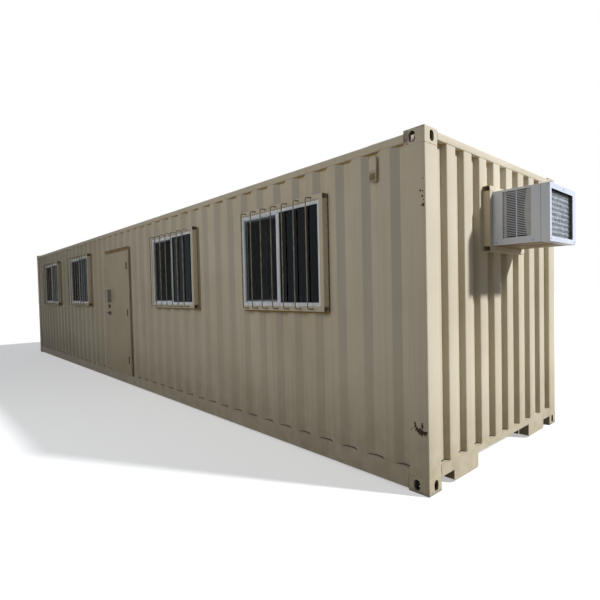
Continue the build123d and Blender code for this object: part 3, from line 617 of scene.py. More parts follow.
low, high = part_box("back_wall")
foot = Vector((0, low.y + sheet / 2, low.z))
wall("ribbed_back_wall", x_shaded_enamel, math.pi, side_ribs, foot, high.z, [], "back_wall")

# The hole for the air conditioner is cut a little wide of its case
low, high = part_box("cooler_end_wall")
a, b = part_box("cooler_case")
case_gap = 0.005
holes = [((high.x - reach, a.y - case_gap, a.z), (high.x + reach, b.y + case_gap, b.z + case_gap))]
foot = Vector((low.x + sheet / 2, 0, low.z))
wall(
    "ribbed_cooler_end_wall", wall_enamel, math.pi / 2, end_ribs, foot, high.z, holes, "cooler_end_wall"
)

low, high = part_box("plain_end_wall")
foot = Vector((high.x - sheet / 2, 0, low.z))
wall("ribbed_plain_end_wall", wall_enamel, -math.pi / 2, end_ribs, foot, high.z, [], "plain_end_wall")

# --- Roof ---
# A steel skin stamped with shallow ribs, welded down on the rails, with thicker flat plates beside the
# corners where lifting gear lands. Dust and rain lie on it, so its enamel has weathered most.

roof_enamel = enamel("sprayed enamel on steel roof, weathered", chips=0.45)
coat(roof_enamel, "roof_header_plates")

# The ribs run across the roof and slope down to nothing before its edges
stamped_roof, sizes = new_tree(
    "stamped roof sheet", rib_lengths + ", Width, Run out", Ribs="Int", Turn="Vector"
)
rows = add(stamped_roof, "GeometryNodeCurveToMesh", {"Curve": ribbed_section(sizes)})
edge = True
for length in (sizes["Run out"], sizes["Width"] - sizes["Run out"] * 2.0, sizes["Run out"]):
    rows = extruded(rows, length, Selection=edge)
    edge = rows["Top"]
spot = split(add(stamped_roof, "GeometryNodeInputPosition"))
half_width = sizes["Width"] * 0.5
away = maths("ABSOLUTE", spot["Z"] - half_width)
stamped = maths("LESS_THAN", away, half_width - 0.001)
level = vector(stamped_roof, spot["X"], spot["Y"] * stamped, spot["Z"])
faded = add(stamped_roof, "GeometryNodeSetPosition", {"Geometry": rows, "Position": level})
end_tree(sizes, turned_at_places(sizes, faded))
low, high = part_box("roof_sheet")
roof = grow(
    "stamped_roof_sheet", roof_enamel, stamped_roof, [(0, low.y, low.z + sheet / 2)],
    clear=high.x - low.x, ribs=53, pitch=0.209, crest=0.078, slope=0.016, depth=high.z - low.z - sheet,
    bend=0.006, width=high.y - low.y, run_out=0.080, turn=ALONG_Y,
)
thicken(roof, sheet)
fix(settle(roof), "roof_sheet")

# --- Weld beads ---
# Run by hand round the posts and rails where they meet the castings, and painted over. A bead is a
# row of overlapping ripples.

weld, sizes = new_tree("weld bead", "Radius, Ripple")
seam = add(weld, "GeometryNodeMeshToCurve", [sizes["Places"]])
ripples = add(weld, "GeometryNodeResampleCurve", {"Curve": seam, "Length": sizes["Ripple"]}, mode="LENGTH")
odd = maths("MODULO", add(weld, "GeometryNodeInputIndex"), 2.0)
end_tree(sizes, swept(ripples, 6, sizes["Radius"], Scale=odd * 0.35 + 0.65))

weld_points = []


def weld_round(low, high, axis):
    """Adds the corners of a box's section, where it starts along an axis."""
    first, second = [side for side in range(3) if side != axis]
    for a, b in ((low, low), (high, low), (high, high), (low, high)):
        corner = Vector(low)
        corner[first] = a[first]
        corner[second] = b[second]
        weld_points.append(corner)


# Round each post at the castings below and above it
casting_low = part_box("bottom_corner_castings")[1].z
casting_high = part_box("top_corner_castings")[0].z
around = Vector((post_width / 2, post_depth / 2, 0))
for x, y, z in post_places:
    for level in (casting_low, casting_high):
        weld_round(Vector((x, y, level)) - around, Vector((x, y, level)) + around, 2)

# Round the roof's side rails, up the grooves at the ends of the floor's, and round the end rails
low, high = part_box("top_side_rails")
for side in (high.y - rail_side, -high.y):
    for at in (low.x, high.x):
        weld_round(Vector((at, side, low.z)), Vector((at, side + rail_side, high.z)), 0)
low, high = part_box("floor_side_rails")
past_end = 0.003
behind_face = 0.004
thin = 0.001
for side in (high.y, low.y):
    for end in (high.x, low.x):
        x = end + math.copysign(past_end, end)
        groove = Vector((x, side - math.copysign(behind_face, side), casting_low))
        weld_round(groove, groove + Vector((thin, thin, high.z - casting_low)), 1)
low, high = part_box("top_end_rails")
for end in (high.x - rail_side, -high.x):
    for at in (low.y, high.y):
        weld_round(Vector((end, at, low.z)), Vector((end + rail_side, at, high.z)), 1)
weld_edges = [
    (start + step, start + (step + 1) % 4) for start in range(0, len(weld_points), 4) for step in range(4)
]
welds = grow(
    "painted_weld_beads", knocked_enamel, weld, weld_points, weld_edges, radius=0.002, ripple=0.007
)
fix(welds)

# --- Lining ---
# Insulated boards faced with vinyl-wrapped gypsum stand against the walls, with panels of the same
# between the roof rails.

# Vinyl film on board: an even off-white with a faint mottle, and dark joints between the boards
lining_board = jointed_board(
    "vinyl-faced gypsum board", "#DAD5C8", "#CFC9BA", "#6F6A60", (1.22, 6.0), (0.4, 0.4), 0.5, upright=True
)
coat(lining_board, "door_wall_lining", "back_wall_lining", "end_linings")
# The ceiling's film is paler, and its joints are too
ceiling_board = jointed_board(
    "vinyl-faced ceiling board", "#E4E1D8", "#DBD7CC", "#8B877D", (1.22, 2.44), (0.4, 0.4), 0.6,
    upright=False,
)
coat(ceiling_board, "ceiling")

# --- Windows ---
# Horizontal sliders in white aluminium stand proud of the wall in welded steel surrounds. The left pane
# slides behind an insect screen and the right one is fixed. Bent steel rods guard both.

surround_enamel = enamel("sprayed enamel on welded steel tube", chips=0.2)
tube_face = 0.045


def surround(name, axis):
    """A surround of square-cut tubes in a wall that runs along X (0) or Y (1): two sills along the
    wall, and two jambs that stand between them."""
    low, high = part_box(name)
    middle = (low + high) / 2
    span = high - low

    def at(along, up):
        return (along, middle.y, up) if axis == 0 else (middle.x, along, up)

    half_face = tube_face / 2
    sills = [at(low[axis], up) for up in (low.z + half_face, high.z - half_face)]
    jambs = [at(along, low.z + tube_face) for along in (low[axis] + half_face, high[axis] - half_face)]
    width, depth = (tube_face, span.y) if axis == 0 else (span.x, tube_face)
    runs = []
    for places, length, turn in (
        (sills, span[axis], (ALONG_X, ALONG_Y)[axis]), (jambs, span.z - 2 * tube_face, UPRIGHT)
    ):
        sizes = dict(width=width, depth=depth, wall=0.003, corner=0.004, length=length, turn=turn)
        runs.append(grow("tubes", surround_enamel, tube, places, **sizes))
    fix(join("welded_" + name, *runs), name)


windows = []
for number in range(1, 5):
    surround(f"window_surround_{number}", 0)
    low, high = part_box(f"window_frame_{number}")
    windows.append(((low.x + high.x) / 2, (low.z + high.z) / 2))

# Flat bar set on edge behind each surround closes the wall's valleys round the hole
wall_face, wall_back = (corner.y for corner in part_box("door_wall_left"))
low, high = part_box("window_surround_1")
inset = 0.012
strips = grow(
    "window_filler_strips", surround_enamel, tube, [(x, wall_back, z) for x, z in windows],
    width=high.x - low.x - inset, depth=high.z - low.z - inset, wall=0.004, corner=0.006,
    length=wall_back - wall_face, turn=OUTWARDS,
)
fix(strips)


def mottled(name, face, shade, mottle, roughness, metallic=0.0, grain=0.0002):
    """A finish that wanders between two shades over a mottle of a size, with a faint grain."""
    finish, shader, place = new_finish(name, face, roughness, metallic)
    patches = noise(place, mottle, 4.0)
    shown = ramp(patches, 0.35, 0.68)
    duller = ramp(shown, 0.0, 1.0, roughness, min(1.0, roughness + 0.15))
    fill(shader, {"Base Color": mixed(shown, face, shade), "Roughness": duller})
    fill(shader, {"Normal": bump(patches, 0.5, grain)})
    return finish


# Amber sealant runs along under the sills, its amber a painted glow of warm light from below. Down the sides
# a nearly black sealant stands in for the shadow line beside each surround, as painted shade.
half_wide = (high.x - low.x) / 2
half_tall = (high.z - low.z) / 2
shadow_line_sealant = mottled("dark sealant painted as a shadow line", "#332E29", "#4A443B", (0.05, 0.05, 0.2), 0.8)
sill_bead = 0.008
sill_front = wall_face - 0.003
side_front = wall_face - 0.002
under_sills = []
down_sides = []
for x, z in windows:
    sides = (x - half_wide, x + half_wide)
    under_sills += [(side, sill_front, z - half_tall - sill_bead) for side in sides]
    down_sides += [(side, side_front, z + up) for side in sides for up in (half_tall, -half_tall)]
pairs = [(start, start + 1) for start in range(0, len(down_sides), 2)]
fix(grow("sill_sealant", sealant, weld, under_sills, pairs[:4], radius=sill_bead, ripple=0.03))
fix(grow("window_side_sealant", shadow_line_sealant, weld, down_sides, pairs, radius=0.004, ripple=0.03))

# Powder coat: an even white film on the extrusions, greyed a little where rain runs down the jambs
powder_coat = mottled("white powder-coated aluminium", "#EEF0F2", "#D5D8DA", (0.05, 0.05, 0.4), 0.38)
coat(powder_coat, *(f"window_frame_{number}" for number in range(1, 5)))

# Solar-tinted float glass: the dark room shows grey-green through it, and its face mirrors weakly
glass, shader, place = new_finish("solar-tinted float glass", "#FFFFFF", 0.03)
tree = place.tree
tinted = add(tree, "ShaderNodeBsdfTransparent", {"Color": linear("#7C8A88")})
mirror = add(tree, "ShaderNodeBsdfGlossy", {"Color": linear("#7E868A"), "Roughness": 0.02})
leaning = add(tree, "ShaderNodeFresnel", {"IOR": 1.52})
pane = add(tree, "ShaderNodeMixShader", [leaning, tinted, mirror])
fill(tree.nodes["Material Output"], {"Surface": pane})
coat(glass, "window_glass")

# Mill-finish aluminium: bare extruded metal, bright but gone slightly blue-grey
mill_aluminium = mottled(
    "mill-finish extruded aluminium", "#B9C0C8", "#98A1AB", (0.3, 0.02, 0.02), 0.35, 1.0
)
# EPDM rubber: matt black with a grey bloom
rubber = mottled("extruded black EPDM rubber", "#17181A", "#2A2B2D", 0.05, 0.85)
# Roll-formed aluminium, sprayed a flat mid-grey
screen_grey = mottled("grey enamel on rolled aluminium", "#6E7274", "#5C6062", 0.05, 0.6)
# Glass fibre dipped in charcoal vinyl: nearly black, so that the eye looks through it
charcoal_fibre = mottled("charcoal vinyl-coated glass fibre", "#2B2D2E", "#232526", 0.05, 0.8)

stile = 0.018
pane_size = (0.540, 0.846)
slider_glass = (0.488, 0.794)
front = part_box("window_frame_1")[0].y
left_panes = [(x - stile - pane_size[0] / 2, z) for x, z in windows]
right_panes = [(x + stile + pane_size[0] / 2, z) for x, z in windows]


def rings(name, finish, panes, backs, size, wall, length):
    """Rectangular rings round panes, drawn out towards the weather from behind the frame's front."""
    places = [(x, front + back, z) for x, z in panes for back in backs]
    sizes = dict(width=size[0], depth=size[1], wall=wall, corner=0.002, length=length, turn=OUTWARDS)
    fix(grow(name, finish, tube, places, **sizes), slot="window_aluminium")


rings("sliding_tracks", mill_aluminium, left_panes, (0.011, 0.0285), pane_size, 0.010, 0.0015)
rings("insect_screen_frames", screen_grey, left_panes, [0.021], pane_size, 0.020, 0.008)
rings("fixed_pane_gaskets", rubber, right_panes, [0.0175], pane_size, 0.008, 0.004)
rings("sliding_pane_gaskets", rubber, left_panes, [0.0315], slider_glass, 0.008, 0.004)

# A solid bar of rounded section, drawn out to a length
bar, sizes = new_tree("rounded bar", "Width, Depth, Corner, Length", Turn="Vector")
outline = rounded_outline(sizes["Width"], sizes["Depth"], 2, sizes["Corner"])
section = add(bar, "GeometryNodeFillCurve", [outline], mode="NGONS")
end_tree(sizes, turned_at_places(sizes, drawn_out(section, sizes["Length"])))

# The screens' threads are woven every 1.6 mm, and are drawn every 6 mm and thicker to show as a veil
thread = dict(width=0.0011, depth=0.0011, corner=0.0003)
weave = 0.006
cloth = front + 0.0165
behind = 0.001
wide, tall = (side - 0.030 for side in pane_size)
uprights = [
    (x - wide / 2 + weave * (step + 0.5), cloth, z - tall / 2)
    for x, z in left_panes for step in range(int(wide / weave))
]
crossings = [
    (x - wide / 2, cloth + behind, z - tall / 2 + weave * (step + 0.5))
    for x, z in left_panes for step in range(int(tall / weave))
]
warp = grow("warp", charcoal_fibre, bar, uprights, length=tall, turn=UPRIGHT, **thread)
weft = grow("weft", charcoal_fibre, bar, crossings, length=wide, turn=ALONG_X, **thread)
fix(join("insect_screen_cloth", warp, weft), slot="window_aluminium")

# Each slider latches on the meeting stile's inside, with a cast body and a thumb lever over it
inside = front + 0.044
bodies = [(x + stile + 0.012, inside + 0.007, z + 0.02) for x, z in windows]
levers = [(x + stile + 0.012, inside + 0.018, z + 0.05) for x, z in windows]
latches = []
for places, width, depth, length in ((bodies, 0.022, 0.014, 0.080), (levers, 0.014, 0.008, 0.035)):
    sizes = dict(width=width, depth=depth, corner=0.003, length=length, turn=UPRIGHT)
    latches.append(grow("latch", powder_coat, bar, places, **sizes))
fix(join("window_latches", *latches), slot="window_aluminium")

# A round rod or pipe that follows the edges between its places, with its corners bent
rod, sizes = new_tree("bent round rod", "Radius, Bend")
path = add(rod, "GeometryNodeMeshToCurve", [sizes["Places"]])
end_tree(sizes, swept(rounded(path, 5, sizes["Bend"]), 10, sizes["Radius"]))


def rods(name, finish, paths, radius, bend):
    """Rods or pipes, each along its own path."""
    points = []
    edges = []
    for path in paths:
        edges += [(len(points) + step, len(points) + step + 1) for step in range(len(path) - 1)]
        points += path
    return grow(name, finish, rod, points, edges, radius=radius, bend=bend)


# Rods of 11 mm are bent back at both ends, and welded to the middle of the surround's tubes. Their brushed
# enamel is a darker grey-brown than the surround's, partly dulled paint and partly painted shade on the thin
# rods.
guard_enamel_and_shade = mottled(
    "enamel brushed on steel rod, rusting through", "#A49D89", "#7D7564", (0.02, 0.02, 0.05), 0.65
)
guard_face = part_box("window_surround_1")[0].y
guard_pitch = 0.164
guard_reach = 0.060
half = 0.955 / 2
reaches = ((0, -half), (guard_reach, -half), (guard_reach, half), (0, half))
paths = [
    [(x + step * guard_pitch, guard_face - out, z + up) for out, up in reaches]
    for x, z in windows for step in range(-3, 4)
]
fix(rods("bent_window_guards", guard_enamel_and_shade, paths, 0.0055, 0.022))

# The welds on the rods weren't painted well, and have rusted through
rusty_weld = mottled("rusted arc weld under thin enamel", "#7A5B3E", "#4A3222", 0.012, 0.8, grain=0.001)
dab, sizes = new_tree("weld dab", "Radius", Flatness="Vector")
ball = add(dab, "GeometryNodeMeshUVSphere", {"Segments": 10, "Rings": 6, "Radius": sizes["Radius"]})
end_tree(sizes, copies(sizes["Places"], ball, Scale=sizes["Flatness"]))
places = [path[end] for path in paths for end in (0, 3)]
fix(grow("guard_welds", rusty_weld, dab, places, radius=0.0092, flatness=(1, 0.4, 1)))

# --- Doorway ---
# A pressed steel frame welded into the cut-out, with a folded drip cap over it, an extruded threshold
# and a rubber weatherstrip. The leaf hangs on three butt hinges on its right.

# The frame and leaf were painted by hand, in a browner beige than the walls
door_enamel = enamel("enamel brushed on pressed steel", chips=0.1, dusty=0.3, shades=("#BDAF92", "#B1A384"))
coat(door_enamel, "door_frame", "door_leaf")
coat(mill_aluminium, "door_threshold")

# The drip cap's brown and orange patches are a painted glow, standing in for warm light from the ground on
# its underside
cap_painted_glow = mottled(
    "enamel on folded steel, with painted glow", "#94713C", "#5C482B", (0.12, 0.02, 0.009), 0.7
)
coat(cap_painted_glow, "door_drip_cap")

# Blackened steel: forged or turned, oiled and gone dull brown-black
black_steel = mottled("blackened steel", "#2A2826", "#3D3731", 0.02, 0.45, 1.0)
# Plated steel: grey-brown where the plating has dulled
plain_steel = mottled("dull plated steel", "#5E5A53", "#413D37", (0.01, 0.01, 0.02), 0.5, 0.6)
coat(plain_steel, "frame_hinge_leaves", "door_hinge_leaves")

# Grey sealant fills the joint between the frame and the wall and lies on its head; its grey is painted
# shade, standing in for the shadow lines beside the frame and over the drip cap
low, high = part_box("door_frame")
joints = [
    [(x, wall_face - 0.004, low.z), (x, wall_face - 0.004, high.z)] for x in (low.x - 0.003, high.x + 0.003)
]
joints.append([(low.x, low.y - 0.003, high.z + 0.002), (high.x, low.y - 0.003, high.z + 0.002)])
shadow_line_grey_sealant = mottled(
    "grey sealant gunned round the door frame", "#7A766C", "#656157", (0.02, 0.02, 0.2), 0.7
)
fix(rods("door_frame_sealant", shadow_line_grey_sealant, joints, 0.0045, 0.001))

# The weatherstrip fills the gap round the leaf
low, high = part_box("door_leaf")
leaf_gap = 0.005
strip = grow(
    "door_weatherstrip", rubber, tube, [((low.x + high.x) / 2, low.y + 0.035, (low.z + high.z) / 2)],
    width=high.x - low.x + 2 * leaf_gap, depth=high.z - low.z + 2 * leaf_gap, wall=0.003,
    corner=0.002, length=0.028, turn=OUTWARDS,
)
fix(strip, slot="hardware_steel")

# --- Door ---
# A flush hollow steel leaf with a lever lock and a deadbolt, both turned and plated dark. A folded
# galvanised cover guards the place where the bolt meets the frame.


def turned(name, finish, centre, outline, out=(0, -1, 0), sides=28, hollow=False):
    """A piece turned on a lathe. Its outline is (radius, height along out) from its centre, and is
    closed on itself if it is hollow."""
    facing = Vector(out).to_track_quat("Z", "Y")
    points = []
    for radius, height in outline:
        for step in range(sides):
            angle = 2 * math.pi * step / sides
            spot = Vector((radius * math.cos(angle), radius * math.sin(angle), height))
            points.append(Vector(centre) + facing @ spot)
    rings = len(outline)
    faces = [] if hollow else [tuple(range(sides)), tuple(range(len(points) - sides, len(points)))]
    for ring in range(rings if hollow else rings - 1):
        for step in range(sides):
            a = ring * sides
            b = (ring + 1) % rings * sides
            after = (step + 1) % sides
            faces.append((a + step, a + after, b + after, b + step))
    return settle(new_piece(name, finish, points, [], faces))


lever_low, lever_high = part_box("door_lever")
bolt_low, bolt_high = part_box("door_deadbolt")
leaf_low, leaf_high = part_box("door_leaf")
lock_x = (bolt_low.x + bolt_high.x) / 2
lever_z = (lever_low.z + lever_high.z) / 2
bolt_z = (bolt_low.z + bolt_high.z) / 2
rose_outline = [(0.034, 0.0), (0.034, 0.007), (0.031, 0.010), (0.024, 0.012), (0.012, 0.012)]
cap_outline = [
    (0.034, 0.0), (0.034, 0.007), (0.031, 0.010), (0.028, 0.011), (0.027, 0.017), (0.023, 0.020),
    (0.009, 0.020),
]
rod_radius = 0.009
handles = []
for face, end, way in ((leaf_low.y, lever_low.y, 1), (leaf_high.y, lever_high.y, -1)):
    neck = (lock_x, face, lever_z)
    elbow = (lock_x, end + way * rod_radius, lever_z)
    tip = (lever_high.x, end + way * rod_radius, lever_z)
    handles.append(turned("rose", black_steel, neck, rose_outline, out=(0, -way, 0)))
    handles.append(rods("lever", black_steel, [[neck, elbow, tip]], rod_radius, 0.020))
fix(join("turned_door_lever", *handles), "door_lever", body="door", slot="hardware_steel")

cap = turned("cap", black_steel, (lock_x, leaf_low.y, bolt_z), cap_outline)
back = turned("back", black_steel, (lock_x, leaf_high.y, bolt_z), rose_outline, out=(0, 1, 0))
thumb = grow(
    "thumb turn", black_steel, bar, [(lock_x, bolt_high.y - 0.014, bolt_z)],
    width=0.010, depth=0.040, corner=0.004, length=0.014, turn=ALONG_Y,
)
deadbolt = join("turned_door_deadbolt", cap, back, thumb)
fix(deadbolt, "door_deadbolt", body="door", slot="hardware_steel")

# Hot-dip galvanised sheet: zinc gone dull grey, with the crystals of its spangle still showing
galvanised = mottled("hot-dip galvanised steel sheet", "#8C887D", "#78746A", (0.03, 0.03, 0.04), 0.6, 0.25)
coat(galvanised, "door_lock_guard")

# --- Air conditioner ---
# A window unit slid out through the end wall into a welded surround. Its case is folded from coated
# steel with slots pressed through its sides, and its condenser coil shows at the outer face.

# Baked enamel on zinc-coated steel: a cool even white, greyed by dirt in vertical runs
cooler_white = mottled(
    "baked white enamel on zinc-coated steel", "#DADFEA", "#CFD5E2", (0.3, 0.3, 0.6), 0.4
)
coat(cooler_white, "cooler_case")

# The base pan's golden brown is partly drip stain on the zinc and partly a painted reflection of warm light
# from the ground
stain_and_glow_zinc = mottled("stained galvanised steel sheet with painted glow", "#8A7147", "#54422C", (0.3, 0.2, 0.2), 0.5)
coat(stain_and_glow_zinc, "cooler_base_pan")

surround("cooler_surround", 1)

# The front band of the case is a second sheet, folded round the first and screwed to it. A grey bead
# of sealant fills the step behind it.
case_low, case_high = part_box("cooler_case")
case_middle = (case_low + case_high) / 2
face = case_high.x
band_length = 0.064
bead_length = 0.003
grey_bead = mottled("grey sealant run into a joint", "#6E7276", "#5F6368", 0.02, 0.7)
for name, finish, start, length, larger, corner in (
    ("cooler_front_band", cooler_white, band_length, band_length, 0.0024, 0.004),
    ("cooler_band_joint", grey_bead, band_length + bead_length, bead_length, 0.0012, 0.003),
):
    sleeve = grow(
        name, finish, tube, [(face - start, case_middle.y, case_middle.z)],
        width=case_high.z - case_low.z + larger, depth=case_high.y - case_low.y + larger, wall=0.0012,
        corner=corner, length=length, turn=ALONG_X,
    )
    fix(sleeve, slot="cooler_enamel")

# Two columns of slots in each side, 27 high, with the sheet between them left as narrow strips
column_foot = case_low.z + 0.054
column_backs = (0.360, 0.246)
strip_pitch = 0.0135
strip = dict(width=0.0055, depth=0.0012, corner=0.0005, length=0.106, turn=ALONG_X)
strips = [
    (face - before, side, column_foot + strip_pitch * step)
    for side in (case_low.y + strip["depth"], case_high.y - strip["depth"])
    for before in column_backs for step in range(1, 27)
]
fix(grow("cooler_side_louvres", cooler_white, bar, strips, **strip), slot="cooler_enamel")

# Behind the slots a shroud of plain zinc-coated sheet, a pale greenish grey, stops short of the fan
# in a shallow curve
bare_zinc = mottled("plain zinc-coated steel sheet", "#C4C6B6", "#B0B3A4", 0.06, 0.5)
column_height = 0.364
shroud_gap = 0.012
shroud_steps = 12
fan_edge = 0.191
bow = 0.020
points = []
faces = []
for side in (case_low.y + shroud_gap, case_high.y - shroud_gap):
    for step in range(shroud_steps + 1):
        up = column_foot + column_height * step / shroud_steps
        edge = fan_edge - bow * (2 * step / shroud_steps - 1) ** 2
        if step:
            a = len(points)
            faces += [(a - 4, a - 3, a + 1, a), (a - 2, a - 1, a + 3, a + 2)]
        points += [(face - before, side, up) for before in (edge, 0.135, 0.351, 0.329)]
shroud = new_piece("cooler_fan_shroud", bare_zinc, points, [], faces)
thicken(shroud, 0.001)
fix(settle(shroud), slot="cooler_enamel")

# Black foam lines the bulkhead between the fan and the room. A black foam strip over the coil stands in for
# the shadow in the gap there, as painted shade.
foam = mottled("black acoustic foam", "#101010", "#1B1B1B", 0.01, 0.95, grain=0.002)
bulkhead_back = 0.391
seal_back = 0.037
bulkhead = grow(
    "bulkhead", foam, bar, [(face - bulkhead_back, case_middle.y, case_low.z + 0.008)],
    width=0.020, depth=0.560, corner=0.002, length=0.424, turn=UPRIGHT,
)
seal = grow(
    "coil seal", foam, bar, [(face - seal_back, case_low.y + 0.006, case_high.z - 0.023)],
    width=0.014, depth=0.036, corner=0.002, length=case_high.y - case_low.y - 0.012, turn=ALONG_Y,
)
fix(join("cooler_foam", bulkhead, seal), slot="cooler_enamel")


def plate(tree, size, counts):
    """A flat plate divided by its counts of points along x, y and z, so that it can be bent."""
    divisions = dict(zip(("Vertices X", "Vertices Y", "Vertices Z"), counts))
    return add(tree, "GeometryNodeMeshCube", {"Size": size, **divisions})


# Moulded polypropylene: a matt black ring, with a hub and four raked blades inside it
black_plastic = mottled("moulded black polypropylene", "#141516", "#1F2021", 0.1, 0.6)
fan, sizes = new_tree("fan blades", "Root, Tip, Chord, Rake", Blades="Int")
span = sizes["Tip"] - sizes["Root"]
blade = plate(fan, vector(fan, 0.003, sizes["Chord"], span), (2, 6, 8))
outward = vector(fan, z=span * 0.5 + sizes["Root"])
moved = add(fan, "GeometryNodeTransform", {"Geometry": blade, "Translation": outward})
spot = add(fan, "GeometryNodeInputPosition")
turn = ramp(split(spot)["Z"], sizes["Root"], sizes["Tip"], 1.0, 0.45) * sizes["Rake"]
twisted = add(fan, "ShaderNodeVectorRotate", {"Vector": spot, "Axis": (0, 0, 1), "Angle": turn})
raked = add(fan, "GeometryNodeSetPosition", {"Geometry": moved, "Position": twisted})
spokes = add(fan, "GeometryNodeMeshLine", {"Count": sizes["Blades"], "Offset": (0, 0, 0)})
share = add(fan, "GeometryNodeInputIndex") / sizes["Blades"]
spin = add(fan, "FunctionNodeEulerToRotation", [vector(fan, share * (2 * math.pi))])
end_tree(sizes, copies(sizes["Places"], copies(spokes, raked, Rotation=spin)))

fan_back = 0.246
fan_place = Vector((face - fan_back, case_middle.y, case_middle.z))
wheel = grow(
    "blades", black_plastic, fan, [fan_place],
    blades=4, root=0.035, tip=0.178, chord=0.120, rake=math.radians(50),
)
hub_outline = [(0.02, -0.03), (0.045, -0.03), (0.045, 0.02), (0.038, 0.03), (0.01, 0.032)]
hub = turned("hub", black_plastic, fan_place, hub_outline, out=(1, 0, 0))
hoop_outline = [
    (0.188, -0.045), (0.200, -0.052), (0.192, -0.040), (0.192, 0.045), (0.204, 0.055), (0.188, 0.048)
]
hoop = turned("hoop", black_plastic, fan_place, hoop_outline, out=(1, 0, 0), sides=40, hollow=True)
fix(join("cooler_fan", wheel, hub, hoop), slot="cooler_enamel")

# The coil's fins are of dull blue-grey aluminium. They stand every 1.6 mm, and are drawn every 5 mm and
# thicker to match. Their edges zigzag, and pipes run through them at each crest, joined in pairs
# beyond the end plate.
coil_aluminium = mottled("oxidised aluminium fin stock", "#AEB4B8", "#8F9599", 0.05, 0.55, 0.4)
fins, sizes = new_tree("wavy coil fins", "Pitch, Thickness, Deep, Row, Wave", Count="Int", Rows="Int")
segments = sizes["Rows"] * 2.0 + 1.0
half_row = sizes["Row"] * 0.5
fin_size = vector(fins, sizes["Deep"], sizes["Thickness"], segments * half_row)
fin = plate(fins, fin_size, (2, 2, segments + 1.0))
height = split(add(fins, "GeometryNodeInputPosition"))["Z"]
shift = maths("SINE", height / half_row * math.pi) * sizes["Wave"]
wavy = add(fins, "GeometryNodeSetPosition", {"Geometry": fin, "Offset": vector(fins, shift)})
spacing = vector(fins, y=sizes["Pitch"])
line = add(fins, "GeometryNodeMeshLine", {"Count": sizes["Count"], "Offset": spacing})
end_tree(sizes, copies(sizes["Places"], copies(line, wavy)))

coil_low, coil_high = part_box("cooler_coil")
coil_x = (coil_low.x + coil_high.x) / 2
coil_z = coil_low.z + 0.208
row = 0.038
end_plate = coil_high.y - 0.028
stack = grow(
    "fins", coil_aluminium, fins, [(coil_x, coil_low.y + 0.004, coil_z)],
    count=106, pitch=0.005, thickness=0.0028, deep=0.017, row=row, wave=0.0032, rows=9,
)
near = coil_low.y + 0.002
far = end_plate + 0.021
levels = [coil_z + (2 * pair - 4.75) * row for pair in range(5)]
paths = [
    [(coil_x, near, z), (coil_x, far, z), (coil_x, far, z + row), (coil_x, near, z + row)] for z in levels
]
pipes = rods("pipes", mill_aluminium, paths, 0.006, 0.0185)
plates = grow(
    "end plates", galvanised, bar, [(coil_x, y, coil_low.z) for y in (coil_low.y + 0.001, end_plate)],
    width=0.0245, depth=0.0012, corner=0.0003, length=coil_high.z - coil_low.z - 0.002, turn=UPRIGHT,
)
fix(join("finned_cooler_coil", stack, pipes, plates), "cooler_coil", slot="cooler_aluminium")

# Zinc-plated self-drilling screws with hexagon washer heads
zinc = mottled("zinc-plated steel", "#8E8C86", "#73716B", 0.01, 0.45, 0.7)
screw, sizes = new_tree("hexagon washer-head screw", "Across", Turn="Vector")
cones = []
for corners, foot_share, top_share, rise in ((16, 0.68, 0.6, 0.0012), (6, 0.5, 0.44, 0.0045)):
    cone = {"Vertices": corners, "Radius Top": sizes["Across"] * top_share, "Depth": rise}
    cone["Radius Bottom"] = sizes["Across"] * foot_share
    cones.append(add(screw, "GeometryNodeMeshCone", cone))
both = add(screw, "GeometryNodeJoinGeometry", [cones])
end_tree(sizes, turned_at_places(sizes, both))
screw_backs = (0.411, 0.121)
foot_line = case_low.z + 0.018
head_line = case_high.z - 0.021
marks = ((case_low.y + 0.014, foot_line), (case_high.y - 0.030, foot_line), (case_middle.y, head_line))
spots = [(face, across, up) for across, up in marks]
screws = [grow("face screws", zinc, screw, spots, across=0.007, turn=ALONG_X)]
for side, turn in ((case_low.y, OUTWARDS), (case_high.y, ALONG_Y)):
    spots = [(face - before, side, foot_line) for before in screw_backs]
    screws.append(grow("side screws", zinc, screw, spots, across=0.007, turn=turn))
fix(join("cooler_screws", *screws), slot="cooler_enamel")

# --- Ventilator ---
# A shallow box pressed from sheet and riveted over a hole high in the wall, open in slots at its foot.
# Stale air from the room has browned its paint round them.

low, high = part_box("wall_ventilator")
proud = 0.012
back = 0.004
middle = (low.x + high.x) / 2
stuffy_air = (Vector((middle, low.y, low.z + 0.035)), 0.06, "#9A8C60", "#756942")
vent_enamel = enamel("sprayed enamel on pressed steel, stained round the slots", stain=stuffy_air)
cover = grow(
    "pressed_wall_ventilator", vent_enamel, bar, [(middle, low.y + (proud + back) / 2, low.z)],
    width=high.x - low.x, depth=proud + back, corner=0.004, length=high.z - low.z, turn=UPRIGHT,
)
round_edges(cover, 0.0025, 2)
settle(cover)
slot_pitch = 0.010
slot_height = 0.0055
slot_inset = 0.008
slots = []
for step in range(5):
    foot = low.z + 0.012 + slot_pitch * step
    slot_low = (low.x + slot_inset, low.y - 0.01, foot)
    slots.append((slot_low, (high.x - slot_inset, low.y + 0.009, foot + slot_height)))
cut(cover, slots)
fix(cover, "wall_ventilator")
rivets = [(x, low.y, z) for x in (low.x + 0.007, high.x - 0.007) for z in (low.z + 0.075, high.z - 0.008)]
fix(grow("ventilator_rivets", zinc, dab, rivets, radius=0.004, flatness=(1, 0.35, 1)))

# --- Camera and studio ---
# The camera stands at about eye level off the near corner. The floor is plain and pale, a broad lamp
# lights the air conditioner's end, and a softer one fills the long side.

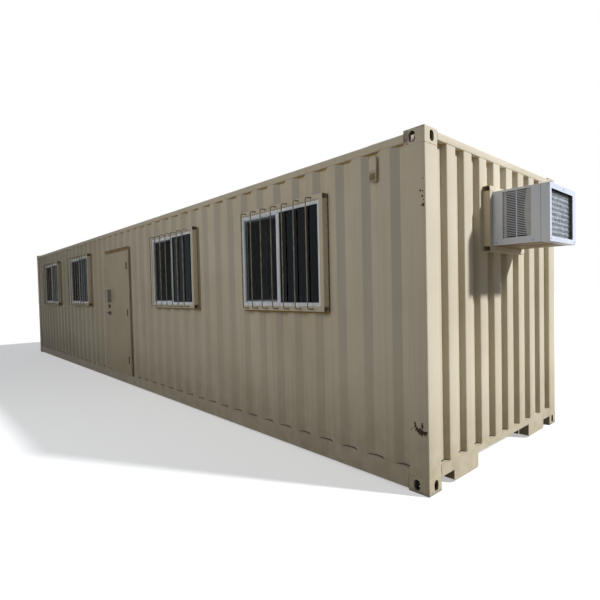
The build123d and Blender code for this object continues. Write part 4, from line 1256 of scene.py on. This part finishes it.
camera_data = bpy.data.cameras.new("camera")
camera_data.lens = 26.366
camera_data.sensor_width = 36
camera_data.shift_x = -0.0327
camera_data.shift_y = 0.0080
yaw = math.radians(46.748)
pitch = math.radians(-1.695)
roll = math.radians(-1.226)
camera = bpy.data.objects.new("camera", camera_data)
camera.location = (7.798, -3.838, 1.459)
aim = Matrix.Rotation(yaw, 4, "Z") @ Matrix.Rotation(math.pi / 2 + pitch, 4, "X")
camera.rotation_euler = (aim @ Matrix.Rotation(roll, 4, "Z")).to_euler()
scene.collection.objects.link(camera)
scene.camera = camera


def lamp(name, kind, strength, place, towards):
    """A lamp at a place, shining towards a point."""
    light = bpy.data.lights.new(name, kind)
    light.energy = strength
    holder = bpy.data.objects.new(name, light)
    holder.location = place
    holder.rotation_euler = (Vector(place) - Vector(towards)).to_track_quat("Z", "Y").to_euler()
    scene.collection.objects.link(holder)
    return holder


key = lamp("key", "SUN", 4.6, (13.1, 4.2, 7.2), (6.1, 0.0, 1.4))
key.data.angle = math.radians(4)
key.data.color = (0.93, 0.96, 1.0)
softer = lamp("fill", "AREA", 98.0, (4.1, -6.2, 3.3), (4.0, -1.2, 2.0))
softer.data.shape = "RECTANGLE"
softer.data.size = 7.0
softer.data.size_y = 2.5
softer.visible_glossy = False


def seen_directly(tree):
    """1 for a ray from the camera, or one that a gloss or a glass sends on."""
    rays = add(tree, "ShaderNodeLightPath")
    looks = rays["Is Camera Ray"] + rays["Is Glossy Ray"]
    return maths("ADD", looks, rays["Is Transmission Ray"], use_clamp=True)


# The air is a pale blue sky for lighting, and plain white to look at
world = bpy.data.worlds.new("studio")
world.use_nodes = True
scene.world = world
tree = world.node_tree
soft = tree.nodes["Background"]
fill(soft, {"Color": linear("#CFE0FF"), "Strength": 0.11})
white = add(tree, "ShaderNodeBackground", {"Color": linear("#FFFFFF"), "Strength": 1.0})
shown = add(tree, "ShaderNodeMixShader", [seen_directly(tree), Link(tree, soft), white])
fill(tree.nodes["World Output"], {"Surface": shown})

# Matt studio paper: it shows white to the camera apart from the cabin's shadow
paper, shader, place = new_finish("matt studio paper", "#D8D8D6", 0.9)
floor_reach = 120
below = cad_box[0].z - 0.001
corners = [(x * floor_reach, y * floor_reach, below) for x, y in ((-1, -1), (1, -1), (1, 1), (-1, 1))]
floor = new_piece("studio_floor", paper, corners, [], [(0, 1, 2, 3)])
direct = seen_directly(place.tree)
fill(shader, {"Base Color": mixed(direct, "#5E5747", "#D8D8D6")})
fill(shader, {"Emission Color": linear("#FFFFFF"), "Emission Strength": direct * 0.45})
floor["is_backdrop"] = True

scene.view_settings.view_transform = "Standard"

sizes = {"cad": [list(corner) for corner in cad_box], "visual": [list(corner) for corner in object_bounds()]}
